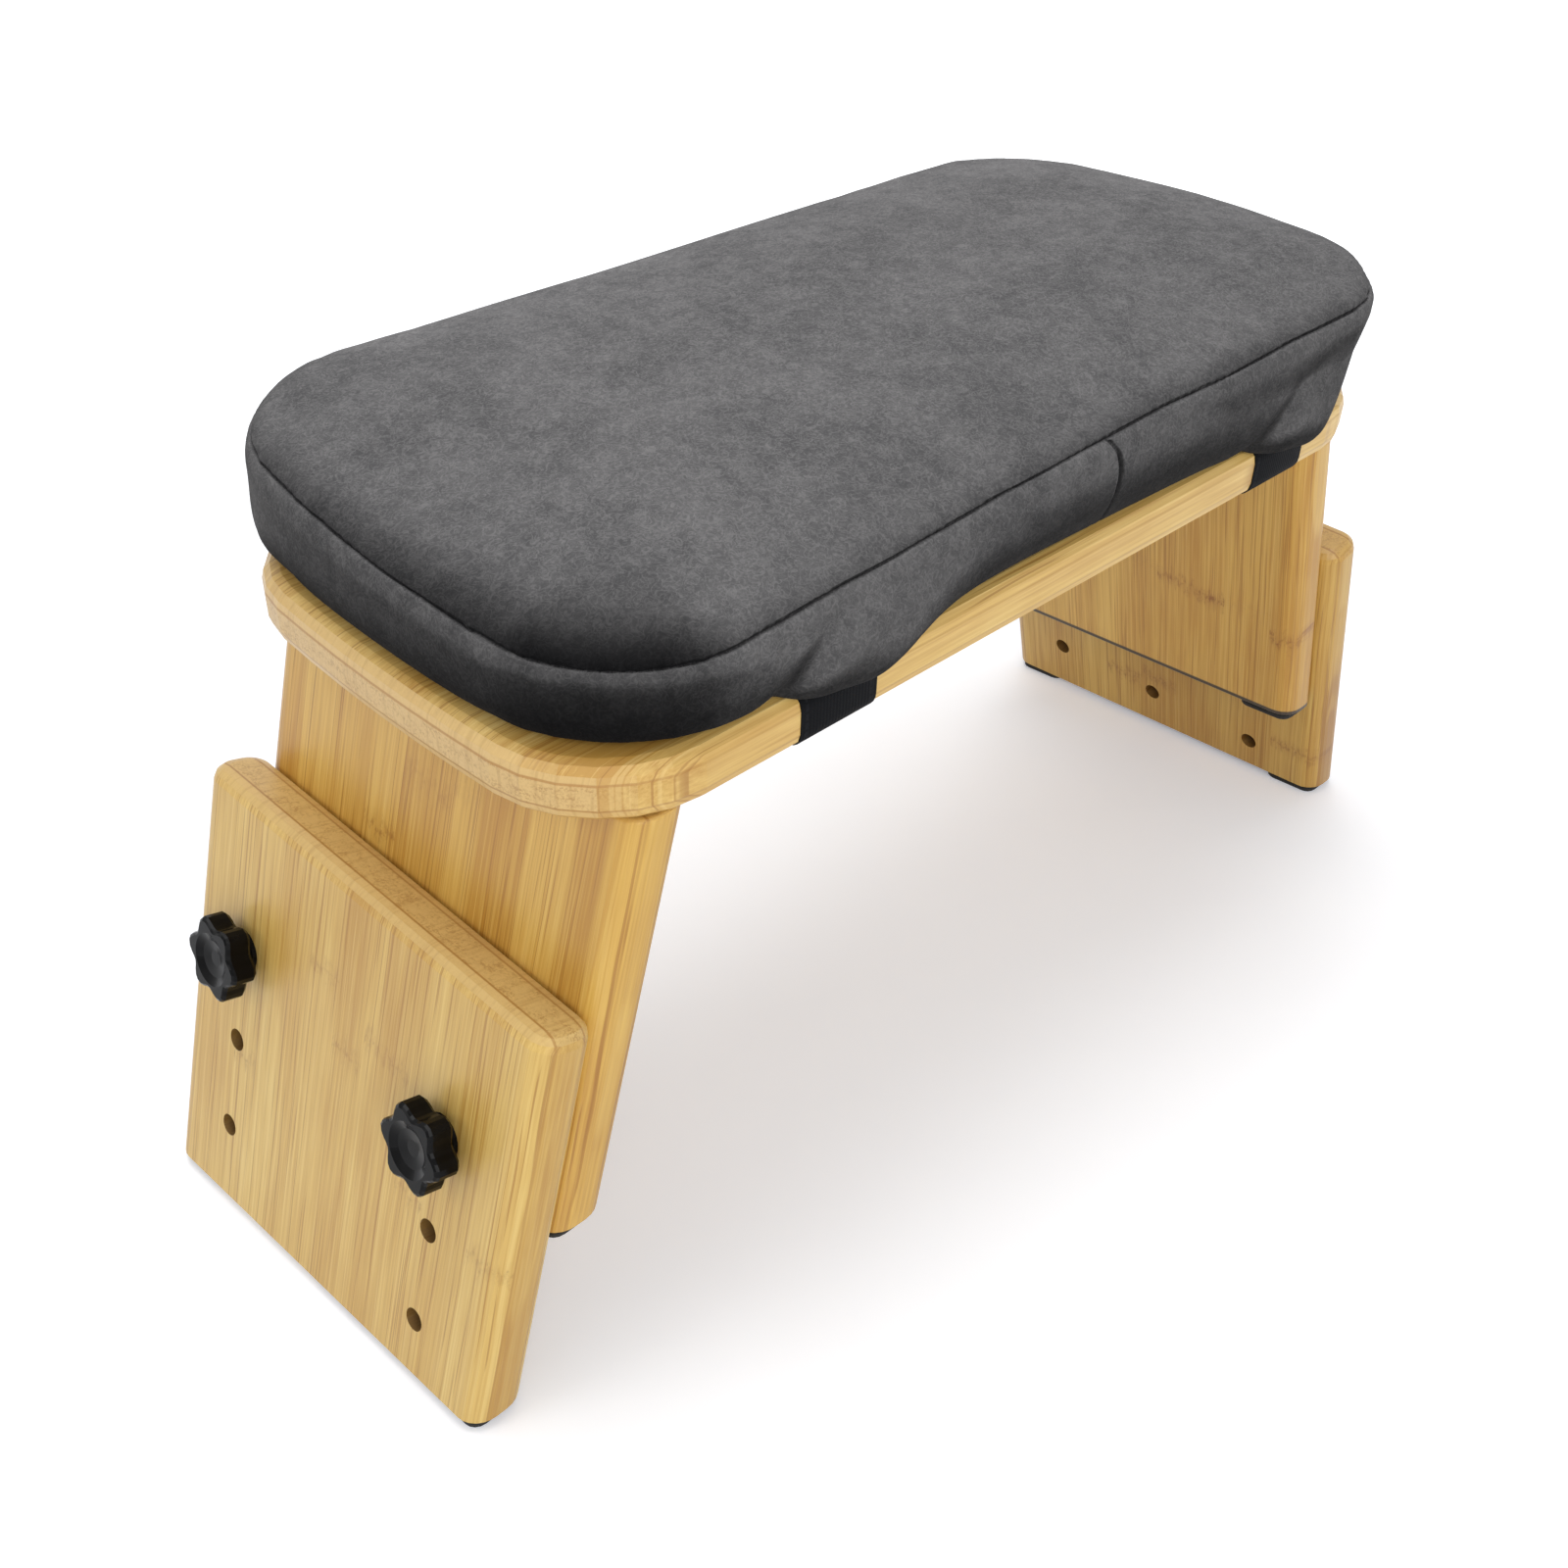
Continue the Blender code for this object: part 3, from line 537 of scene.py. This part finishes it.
# %% Rings of the cushion
def lie(x, y, z):
    """Turns the cushion's own plan and moves it to its place on the plank."""
    c, s = cos(CUSHION_TURN), sin(CUSHION_TURN)
    middle_x, middle_y = CUSHION_MIDDLE
    return np.column_stack([middle_x + c * x - s * y, middle_y + s * x + c * y, z])


def band_height(x, y, crown=0.0):
    along, across = x / HALF_LENGTH, y / HALF_DEPTH * (1 - crown)
    return SEAM_HEIGHT + RISE_RIGHT * along + RISE_BACK * across - TWIST * along * across


def fuller_back(along, across):
    """The top swells more along the back, and less at its right corner."""
    return BACK_FULLNESS * np.clip(across, 0, 1) * (1 - ((along + 1) / 1.68) ** 4)


def foot_tuck(along, across):
    """How far the foot is drawn in at the ends, most at the front right corner."""
    right, left = np.clip(along, 0, 1), np.clip(-along, 0, 1)
    corner = TUCK_CORNER * right ** 6 * np.clip(-across, 0, 1) ** 3
    return TUCK_LEFT * left ** 4 - TUCK_RIGHT * right ** 5 - corner, corner


def ring(share_up, inset, spread=1.0, crown=0.0):
    """One ring: its share of the way up the band, its inset, and its share of the outline."""
    x = OUT_X * (HALF_LENGTH - inset) / HALF_LENGTH
    y = OUT_Y * (HALF_DEPTH - inset) / HALF_DEPTH
    reach = HALF_LENGTH - HALF_DEPTH
    middle = np.clip(x, -reach, reach)
    x, y = middle + (x - middle) * spread, y * spread
    shift = (1 - share_up) ** 2
    along, across = x / HALF_LENGTH, y / HALF_DEPTH
    height = FOOT + share_up * band_height(x, y, crown) + CROWN * crown
    height = height + fuller_back(along, across) * sin(pi * crown ** 0.7)
    tuck_x, tuck_y = foot_tuck(along, across)
    return lie(x + (FOOT_SHIFT[0] + tuck_x) * shift, y + (FOOT_SHIFT[1] + tuck_y) * shift, height)


BAND = [(0.0, 1.0), (0.03, 0.62), (0.09, 0.30), (0.18, 0.10), (0.30, 0.0), (0.45, 0.02),
        (0.60, 0.06), (0.75, 0.06), (0.88, 0.0), (1.0, 0.08)]


def cushion_rings():
    for k in range(FOOT_RINGS, 0, -1):
        yield ring(0.0, FOOT_INSET, spread=1 - k / (FOOT_RINGS + 0.5))
    for up, inset in BAND:
        yield ring(up, FOOT_INSET * inset)
    for k in range(1, TOP_RINGS + 1):
        share = (k / TOP_RINGS) ** 1.25
        crown = 1 - (1 - share) ** CROWN_FULLNESS
        yield ring(1.0, SEAM_INSET, spread=1 - share * 0.995, crown=crown)


def seam_ring():
    return ring(1.0, SEAM_INSET)


RINGS = list(cushion_rings())
print("rings:", len(RINGS), "of", COLUMNS, "points")

# %% [markdown]
# The rings are skinned and both ends are closed. A voxel remesh then turns the skin into
# even little squares, which a cloth simulation likes, and which leave no line where the
# rings of the top would meet.
# %% Skin the rings and remesh them
def skin(name, rings):
    count = len(rings[0])
    faces = []
    for row in range(len(rings) - 1):
        for k in range(count):
            a, b = row * count + k, row * count + (k + 1) % count
            faces.append((a, b, b + count, a + count))
    last = (len(rings) - 1) * count
    faces.append(tuple(range(count))[::-1])
    faces.append(tuple(range(last, last + count)))
    mesh = bpy.data.meshes.new(name)
    mesh.from_pydata([tuple(p) for p in np.vstack(rings)], [], faces)
    piece = bpy.data.objects.new(name, mesh)
    bpy.context.collection.objects.link(piece)
    return piece


def only(piece):
    """Selects this piece and nothing else, ready for an operator."""
    bpy.ops.object.select_all(action="DESELECT")
    piece.select_set(True)
    bpy.context.view_layer.objects.active = piece


def remesh(piece, size):
    only(piece)
    even = piece.modifiers.new("even", "REMESH")
    even.mode = "VOXEL"
    even.voxel_size = size
    bpy.ops.object.modifier_apply(modifier=even.name)


def smooth(piece, times):
    """Evens out the steps that the remesh leaves."""
    only(piece)
    evener = piece.modifiers.new("evener", "SMOOTH")
    evener.factor = 0.5
    evener.iterations = times
    bpy.ops.object.modifier_apply(modifier=evener.name)


SQUARE = 0.0040

cushion = skin("seat_cushion", RINGS)
remesh(cushion, SQUARE)
smooth(cushion, 3)
print("cushion squares:", len(cushion.data.polygons))

# %% [markdown]
# A real cover is blown tight by the foam inside it. A cloth simulation with a little pressure
# and no gravity gives that swell. The seam and the foot are held, because the stitching
# there does not give, and no point may move further than a cap.
# %% Distances to the sewing
JOIN_TOP, JOIN_FOOT, JOIN_SAG = 0.0115, 0.0165, 0.0040


def tree_of(points):
    tree = KDTree(len(points))
    for index, point in enumerate(points):
        tree.insert(point, index)
    tree.balance()
    return tree


def dense(points, parts=4):
    """The closed line through these points, with more points on it."""
    after = np.roll(points, -1, axis=0)
    return np.vstack([points + (after - points) * k / parts for k in range(parts)])


def join_line(side):
    """The upright seam that joins the two ends of the band, at the front or the back."""
    up = np.linspace(0.02, 1.0, 40)
    x = side * (JOIN_FOOT + (JOIN_TOP - JOIN_FOOT) * up + JOIN_SAG * np.sin(pi * up ** 1.6))
    y = np.full(len(up), side * -HALF_DEPTH) + side * FOOT_INSET * (1 - up) ** 4
    y += side * WAIST * (0.5 + 0.5 * np.cos(pi * x / HALF_LENGTH))
    return lie(x, y, FOOT + up * band_height(x, y))


def laid_on(piece, line):
    """A line moved onto the piece's skin, point by point."""
    return np.array([piece.closest_point_on_mesh(Vector(point))[1] for point in line])


def sewing_lines(piece):
    """Trees of the seam round the top and of the two upright seams."""
    upright = np.vstack([join_line(1), join_line(-1)])
    return tree_of(laid_on(piece, dense(seam_ring()))), tree_of(laid_on(piece, upright))


def distances(points, tree):
    return np.array([tree.find(point)[2] for point in points])


steps = np.linalg.norm(np.diff(seam_ring(), axis=0), axis=1)
print("once round the seam:", round(float(steps.sum()), 3), "m")

# %% Let the foam swell the cover
SWELL_CAP = 0.0065
HELD_ABOVE_FOOT, HELD_BESIDE_SEAM = 0.0015, 0.0028
PRESSURE = 4.0
LAST_FRAME = 20


def points_of(mesh):
    flat = np.zeros(len(mesh.vertices) * 3)
    mesh.vertices.foreach_get("co", flat)
    return flat.reshape(-1, 3)


def hold_group(piece, points):
    """Holds the points of the underside and of the seam."""
    group = piece.vertex_groups.new(name="held")
    apart = distances(points, sewing_lines(piece)[0])
    for index, (height, gap) in enumerate(zip(points[:, 2] - FOOT, apart)):
        if height < HELD_ABOVE_FOOT or gap < HELD_BESIDE_SEAM:
            group.add([index], 1.0, "REPLACE")
    return group.name


def swell(piece):
    start = points_of(piece.data)
    cloth = piece.modifiers.new("cover", "CLOTH")
    cloth.settings.quality = 5
    cloth.settings.mass = 0.25
    cloth.settings.tension_stiffness = 15
    cloth.settings.compression_stiffness = 15
    cloth.settings.bending_stiffness = 0.5
    cloth.settings.use_pressure = True
    cloth.settings.uniform_pressure_force = PRESSURE
    cloth.settings.vertex_group_mass = hold_group(piece, start)
    cloth.settings.effector_weights.gravity = 0
    for number in range(1, LAST_FRAME + 1):
        bpy.context.scene.frame_set(number)
    settled = piece.evaluated_get(bpy.context.evaluated_depsgraph_get())
    end = points_of(settled.data)
    bpy.context.scene.frame_set(1)
    piece.modifiers.remove(cloth)
    move = end - start
    length = np.linalg.norm(move, axis=1)
    shorter = SWELL_CAP * np.tanh(length / SWELL_CAP) / np.maximum(length, 1e-9)
    piece.data.vertices.foreach_set("co", (start + move * shorter[:, None]).ravel())
    piece.data.update()
    return length.max(), (length * shorter).max()


most, kept = swell(cushion)
print("furthest swell:", round(most * 1000, 1), "mm, kept to", round(kept * 1000, 1), "mm")

# %% [markdown]
# One subdivision makes the cover smooth, and the faces near the seams are divided twice more.
# The seams' lines are laid onto the skin as it now is. Then the sewing is put in: a thin
# valley along each seam with a little pucker at every stitch, and the pull of the two straps,
# which drag the cover down over the plank's front edge. Two attributes are kept for the
# cloth's colour, both for painted shade: how near a point is to a seam, for a dark line in its
# crease, and how much shade is painted near the seam, most at the front left corner.
# %% Seams and folds
STRAP_CENTRES = (-0.1101, 0.1296)
# The way the outline faces where the painted shade is darkest, at the front left corner
SHADED_CORNER_WAY = np.array([-0.78, -0.63])
SEAM_REACHES = (0.0034, 0.0018)
STITCH = 0.0045
# The pull outwards at a strap, and where along the depth the front begins
PULL_OUT, PULL_WIDTH, PULL_HEIGHT = 0.0090, 0.034, 0.024
FRONT_AT, FRONT_REACH = -0.078, 0.011
# The slanting crease beside it, with a ridge
CREASE, CREASE_WIDTH, CREASE_HEIGHT = 0.0046, 0.0065, 0.031
RIDGE, RIDGE_WIDTH, RIDGE_BESIDE = 0.0022, 0.0085, 0.015
SLANT_AT, SLANT = 0.030, 1.2
# The hem that hangs over the plank's edge
EDGE_AT, EDGE_REACH = -0.0925, 0.0045
HANG, HANG_BESIDE, HANG_HEIGHT = 0.0060, 0.0014, 0.014
# The painted shade on the shoulder above the seam
SHOULDER_WIDTH, SHOULDER_AT_CORNER = 0.0060, 0.0150


def subdivide(piece):
    only(piece)
    finer = piece.modifiers.new("finer", "SUBSURF")
    finer.levels = 1
    finer.render_levels = 1
    bpy.ops.object.modifier_apply(modifier=finer.name)


def surface(piece):
    """Points and normals of a mesh."""
    points = points_of(piece.data)
    flat = np.zeros(len(points) * 3)
    piece.data.vertices.foreach_get("normal", flat)
    return points, flat.reshape(-1, 3)


def divide_near_seams(piece, lines, reach):
    points = points_of(piece.data)
    apart = np.minimum(distances(points, lines[0]), distances(points, lines[1]))
    near = apart < reach
    only(piece)
    bpy.ops.object.mode_set(mode="EDIT")
    bpy.ops.mesh.select_mode(type="FACE")
    bpy.ops.mesh.select_all(action="DESELECT")
    bpy.ops.object.mode_set(mode="OBJECT")
    for face in piece.data.polygons:
        face.select = any(near[index] for index in face.vertices)
    bpy.ops.object.mode_set(mode="EDIT")
    bpy.ops.mesh.subdivide(number_cuts=1, quadcorner="INNERVERT")
    bpy.ops.object.mode_set(mode="OBJECT")


def bell(value, width):
    return np.exp(-(value / width) ** 2)


def pull_of_strap(points, centre):
    """The cover dragged down over the plank's edge at a strap, with the crease beside it."""
    x = points[:, 0] - centre
    height = points[:, 2] - FOOT
    front = np.clip((FRONT_AT - points[:, 1]) / FRONT_REACH, 0, 1)
    low = np.clip(1 - height / PULL_HEIGHT, 0, 1)
    fade = np.clip(1 - height / CREASE_HEIGHT, 0, 1)
    move = np.zeros_like(points)
    move[:, 1] -= PULL_OUT * bell(x - 0.012, PULL_WIDTH) * front * low
    slope = x + SLANT_AT - SLANT * height
    crease = CREASE * bell(slope, CREASE_WIDTH)
    ridge = RIDGE * bell(slope - RIDGE_BESIDE, RIDGE_WIDTH)
    move[:, 1] += (crease - ridge) * front * fade
    over = np.clip((EDGE_AT - points[:, 1] - move[:, 1]) / EDGE_REACH, 0, 1)
    hang = HANG * bell(x - 0.014, 0.022) + HANG_BESIDE * bell(x + 0.010, 0.020)
    move[:, 2] -= hang * over * np.clip(1 - height / HANG_HEIGHT, 0, 1)
    return move


def ease(value, start, end):
    """0 before start and 1 after end, smoothly."""
    share = np.clip((value - start) / (end - start), 0, 1)
    return share * share * (3 - 2 * share)


def outward(columns):
    """Which way the outline faces at these columns."""
    along_x, along_y = [np.roll(out, -1) - np.roll(out, 1) for out in (OUT_X, OUT_Y)]
    way = np.column_stack([along_y, -along_x])[columns]
    return way / np.linalg.norm(way, axis=1)[:, None]


def painted_seam_shade(points, tree):
    """How much shade is painted, for the light and the leaning pile: near the seam, most at the front left corner.
    """
    found = [tree.find(point) for point in points]
    nearest = np.array([place for place, index, gap in found])
    columns = np.array([index % COLUMNS for place, index, gap in found])
    gap = np.array([gap for place, index, gap in found])
    corner = ease(outward(columns) @ SHADED_CORNER_WAY, 0.50, 0.98)
    above = ease(points[:, 2] - nearest[:, 2], -0.0004, 0.0008)
    width = SHOULDER_WIDTH + SHOULDER_AT_CORNER * corner ** 2
    shoulder = above * (0.20 + 0.80 * corner) * bell(gap, width)
    below = (1 - above) * corner ** 2 * (0.38 + 0.60 * ease(gap, 0.0, 0.022))
    return shoulder + below


def keep(piece, name, values):
    """Keeps a number for every point, to be read by the material."""
    mark = piece.data.attributes.new(name, "FLOAT", "POINT")
    mark.data.foreach_set("value", values.astype(np.float32))


def sew(piece, lines):
    """Keeps the two attributes and moves the points into the seams and folds."""
    points, normals = surface(piece)
    loop, join = [distances(points, tree) for tree in lines]
    apart = np.minimum(loop, join)
    keep(piece, "shade", painted_seam_shade(points, lines[0]))
    # The seam attribute masks a painted shade line in the seam's crease
    keep(piece, "seam", bell(apart, 0.0006))
    pucker = 1 + 0.25 * np.sin(2 * pi * (points[:, 0] - points[:, 1]) / STITCH)
    sunk = 0.0012 * bell(apart, 0.0008) * pucker + 0.0013 * bell(loop, 0.0042)
    points = points - normals * sunk[:, None]
    for centre in STRAP_CENTRES:
        points = points + pull_of_strap(points, centre)
    piece.data.vertices.foreach_set("co", points.ravel())
    piece.data.update()


subdivide(cushion)
LINES = sewing_lines(cushion)
for reach in SEAM_REACHES:
    divide_near_seams(cushion, LINES, reach)
sew(cushion, LINES)
cushion.data.transform(SEAT)
for face in cushion.data.polygons:
    face.use_smooth = True
print("cushion faces:", len(cushion.data.polygons))

# %% [markdown]
# The cover is a short-piled plush, charcoal grey, and its pile leans one way. Painted shade
# makes the sides darker than the top, almost black at the front left corner, for the light and
# the leaning pile. Over that it shows soft clouds and tiny curled fibres, and only a trace of
# sheen where it turns away from the eye.
# %% Plush cover
PLUSH_DARK = (0.60, 0.60, 0.61, 1.0)
PLUSH_PALE = (1.38, 1.36, 1.36, 1.0)
# Painted light and shade: surfaces facing this way are lighter and the sides darker, by these tones
PAINTED_LIGHT_WAY = Vector((0.46, 0.36, 0.80)).normalized()
PAINTED_SHADE_TONES = [(0.20, 0.030), (0.27, 0.058), (0.33, 0.112),
              (0.78, 0.128), (0.90, 0.158), (0.97, 0.214)]
# The colour of the painted shade above the seam and at the front left corner
PAINTED_SHADE_DARK = (0.007, 0.007, 0.0075, 1.0)


def turned_to(bench, way):
    """How far the surface faces this way, from -1 to 1."""
    facing = bench.add("ShaderNodeTexCoord", output="Normal")
    inputs = {0: facing, 1: way}
    return bench.add("ShaderNodeVectorMath", {"operation": "DOT_PRODUCT"}, inputs, "Value")


def curled(bench, point, scale, thin):
    """Fine curled lines, where a warped noise crosses its middle value."""
    inputs = {"Vector": point, "Scale": scale, "Detail": 1.0, "Distortion": 1.6}
    wisp = bench.add("ShaderNodeTexNoise", {}, inputs)
    return 1 - (wisp - 0.5).size().step(0.0, thin)


def plush():
    bench = new_bench("charcoal_plush")
    point = bench.place(SEAT)
    clouds = bench.noise(point, 34.0, 3.0, 0.55)
    nap = bench.noise(point, 150.0, 3.0, 0.6)
    curls = curled(bench, point, 290.0, 0.09) * 0.6 + curled(bench, point, 430.0, 0.10) * 0.4
    fibre = bench.noise(point, 1100.0, 2.0, 0.7)
    soft = clouds.step(0.30, 0.70) * 0.26 + nap.step(0.30, 0.70) * 0.24
    shade = soft + curls * 0.62 + fibre * 0.34 - 0.24
    mottle = bench.mix(shade, PLUSH_DARK, PLUSH_PALE)
    stops = [(place, (tone * 1.01, tone, tone * 1.01)) for place, tone in PAINTED_SHADE_TONES]
    # Painted shade: the top lighter and the sides darker, by which way the surface faces
    facing_light = turned_to(bench, PAINTED_LIGHT_WAY) * 0.5 + 0.5
    pile = bench.add("ShaderNodeValToRGB", {"stops": stops}, {0: facing_light})
    # Painted shade above the seam and at the front left corner, read from the shade attribute
    painted_shade = bench.add("ShaderNodeAttribute", {"attribute_name": "shade"}, output="Fac")
    pile = bench.mix(painted_shade, pile, PAINTED_SHADE_DARK)
    cover = bench.mix(1.0, pile, mottle, blend="MULTIPLY")
    seam = bench.add("ShaderNodeAttribute", {"attribute_name": "seam"}, output="Fac")
    # Painted shade: a near-black line in the seam's crease
    cover = bench.mix(seam * 0.85, cover, linear(15, 15, 17))
    return bench.finish(
        Base_Color=cover,
        Roughness=0.94,
        Specular_IOR_Level=0.03,
        Sheen_Weight=0.02,
        Sheen_Roughness=0.5,
        Sheen_Tint=(0.5, 0.5, 0.52, 1.0),
        Normal=bench.bump(curls * 0.7 + fibre * 0.3, 0.30, 0.0005),
    )


cushion.data.materials.append(plush())
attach(cushion, "seat")
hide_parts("cushion")
print("cushion dressed in", cushion.data.materials[0].name)

# %% [markdown]
# Two bands of black elastic webbing run from the cover's foot, round the plank, and up again
# at the back. A band is drawn as by hand: one edge is extruded step by step along its route,
# then given its thickness and rounded edges. Its ribs run along it, so it gets its own UV.
# %% Straps
STRAP_WIDTH = 0.033
STRAP_THICKNESS = 0.0014
PLANK_HALF_DEPTH = 0.097
EDGE_ROUNDING = 0.006
STRAP_LIFT = 0.0004
STITCH_FROM_MIDDLE = 0.0140


def strap_route():
    """(y, z) from the front, down, under the plank and up the back."""
    reach = EDGE_ROUNDING + STRAP_LIFT
    centre = PLANK_HALF_DEPTH - EDGE_ROUNDING
    upper = [radians(a) for a in (52, 40, 28, 16, 4, 0)]
    low = [radians(a) for a in (0, 15, 30, 45, 60, 75, 90)]
    back = [(centre + reach * cos(a), PLANK_TOP - EDGE_ROUNDING + reach * sin(a)) for a in upper]
    back += [(centre + reach * cos(a), EDGE_ROUNDING - reach * sin(a)) for a in low]
    front = [(-y, z) for y, z in back]
    return front + back[::-1]


def first_edge(name, x, y, z):
    """A plane cut down to one edge across the strap."""
    bpy.ops.mesh.primitive_plane_add(size=STRAP_WIDTH, location=(x, y, z))
    piece = bpy.context.object
    piece.name = name
    bpy.ops.object.transform_apply(location=True, rotation=True, scale=True)
    for vertex in piece.data.vertices:
        vertex.select = vertex.co.y > y
    for edge in piece.data.edges:
        edge.select = False
    for face in piece.data.polygons:
        face.select = False
    bpy.ops.object.mode_set(mode="EDIT")
    bpy.ops.mesh.select_mode(type="VERT")
    bpy.ops.mesh.delete(type="VERT")
    bpy.ops.mesh.select_all(action="SELECT")
    bpy.ops.transform.translate(value=(0, STRAP_WIDTH / 2, 0))
    return piece


def lay_uv(piece, x, route):
    """U across the strap and V along it, both in metres."""
    steps = np.linalg.norm(np.diff(np.array(route), axis=0), axis=1)
    run = np.concatenate([[0], np.cumsum(steps)])
    uv = piece.data.uv_layers.new(name="weave")
    line = np.array(route)
    for loop in piece.data.loops:
        place = piece.data.vertices[loop.vertex_index].co
        nearest = int(np.argmin(np.hypot(line[:, 0] - place.y, line[:, 1] - place.z)))
        uv.data[loop.index].uv = (place.x - x, run[nearest])


def make_strap(name, x):
    route = strap_route()
    bpy.ops.object.select_all(action="DESELECT")
    piece = first_edge(name, x, *route[0])
    for (y0, z0), (y1, z1) in zip(route, route[1:]):
        move = {"value": (0, y1 - y0, z1 - z0)}
        bpy.ops.mesh.extrude_region_move(TRANSFORM_OT_translate=move)
    bpy.ops.object.mode_set(mode="OBJECT")
    lay_uv(piece, x, route)
    return piece


def thicken(piece):
    """Thickness outwards from the plank, then rounded edges."""
    only(piece)
    solid = piece.modifiers.new("thickness", "SOLIDIFY")
    solid.thickness = STRAP_THICKNESS
    solid.offset = 1.0
    bpy.ops.object.modifier_apply(modifier=solid.name)
    round_over = piece.modifiers.new("edges", "BEVEL")
    round_over.width = 0.00035
    round_over.segments = 2
    bpy.ops.object.modifier_apply(modifier=round_over.name)


def webbing():
    bench = new_bench("black_webbing")
    uv = bench.add("ShaderNodeUVMap", {"uv_map": "weave"})
    across, along = bench.split(uv)[:2]
    ribs = across.wave(0.0014)
    picks = along.wave(0.0011)
    weave = ribs * 0.6 + picks * ribs * 0.4
    fuzz = bench.noise(bench.place(), 1300.0, 2.0, 0.6)
    stitch = 1 - (across.size() - STITCH_FROM_MIDDLE).size().step(0.0003, 0.0007)
    dash = (along / 0.0032).part().step(0.2, 0.3)
    sewn = stitch * dash
    base = bench.mix(fuzz * 0.5 + weave * 0.12, linear(4, 5, 8), linear(13, 14, 18))
    base = bench.mix(sewn * 0.4, base, linear(34, 35, 40))
    return bench.finish(
        Base_Color=base,
        Roughness=0.70 + fuzz * 0.15,
        Normal=bench.bump(weave * 0.5 + fuzz * 0.2 - sewn * 0.6, 0.5, 0.0003),
        Specular_IOR_Level=0.12,
    )


WEBBING = webbing()
for side, centre in zip(("left", "right"), STRAP_CENTRES):
    strap = make_strap(f"webbing_{side}", centre)
    thicken(strap)
    strap.data.transform(SEAT)
    only(strap)
    bpy.ops.object.shade_smooth_by_angle(angle=radians(40))
    strap.data.materials.append(WEBBING)
    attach(strap, "seat")
    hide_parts(f"strap_{side}")
    print("strap", side, "faces:", len(strap.data.polygons))

# %% [markdown]
# The stool stands on a plain pale floor that runs off to white. The floor is matt and takes
# the stool's shadow, and a little glow that only the eye and the reflections see lifts it
# to white, so that no extra light falls on the stool.
# %% Floor and sky
def seen(bench):
    """1 for what the camera sees directly or in a reflection."""
    path = bench.nodes.new("ShaderNodeLightPath")
    names = ("Is Camera Ray", "Is Glossy Ray", "Is Transmission Ray")
    camera_ray, glossy, through = [Wire(bench, path.outputs[n]) for n in names]
    return camera_ray.top(glossy).top(through)


FLOOR_TONE, FLOOR_LIFT = 0.78, 0.14
NEAR_GLOW = (0.20, 0.215, 0.25)
FAR_GLOW, FAR_FROM, FAR_TO = 0.80, 0.32, 1.6
SKY_STRENGTH = 0.48


def pale_floor():
    bench = new_bench("pale_floor")
    look = seen(bench)
    grain = bench.noise(bench.place(), 30.0, 2.0) * 0.02
    tone = look * FLOOR_LIFT + grain + FLOOR_TONE
    matt = bench.add("ShaderNodeBsdfDiffuse", {}, {"Color": bench.join(tone, tone, tone)})
    x, y = bench.split(bench.place())[:2]
    away = bench.add("ShaderNodeMath", {"operation": "SQRT"}, {0: x * x + y * y})
    far = away.step(FAR_FROM, FAR_TO) * FAR_GLOW
    shine = [look * (far + near) for near in NEAR_GLOW]
    glow = bench.add("ShaderNodeEmission", {}, {"Color": bench.join(*shine), "Strength": 1.0})
    both = bench.add("ShaderNodeAddShader", {}, {0: matt, 1: glow})
    bench.add("ShaderNodeOutputMaterial", {}, {"Surface": both})
    return bench.owner


bpy.ops.mesh.primitive_plane_add(size=24.0, location=(0, 0, 0))
floor = bpy.context.object
floor.name = "floor"
floor.data.materials.append(pale_floor())


def white_sky(strength):
    world = bpy.data.worlds.new("white_sky")
    bpy.context.scene.world = world
    bench = Bench(world)
    level = seen(bench) * (1.0 - strength) + strength
    sky = bench.add("ShaderNodeBackground", {}, {"Color": (1, 1, 1, 1), "Strength": level})
    bench.add("ShaderNodeOutputWorld", {}, {"Surface": sky})


white_sky(SKY_STRENGTH)
print("floor and sky are in place, the sky's strength is", SKY_STRENGTH)

# %% [markdown]
# A large soft lamp almost overhead, a little to the back, lays the stool's shadow under it and
# towards the front. A second one in front lights the plank's edge. A smaller one at the left
# grazes the panel, so that the knobs throw their shadows on it.
# %% Lamps
def soft_lamp(name, place, size, power):
    bpy.ops.object.light_add(type="AREA", location=place)
    lamp = bpy.context.object
    lamp.name = name
    lamp.data.size = size
    lamp.data.energy = power
    lamp.rotation_euler = Vector(place).to_track_quat("Z", "Y").to_euler()


# Each lamp's place, size in metres and power in watts
LAMPS = {
    "ceiling_lamp": ((0.08, 0.20, 1.95), 1.1, 16.5),
    "front_lamp": ((-0.9, -1.7, 1.0), 1.3, 19),
    "left_lamp": ((-1.7, 0.55, 1.15), 0.8, 4),
}
for name, lamp in LAMPS.items():
    soft_lamp(name, *lamp)
print("lamps:", ", ".join(LAMPS))
bpy.context.scene.view_settings.view_transform = "Standard"
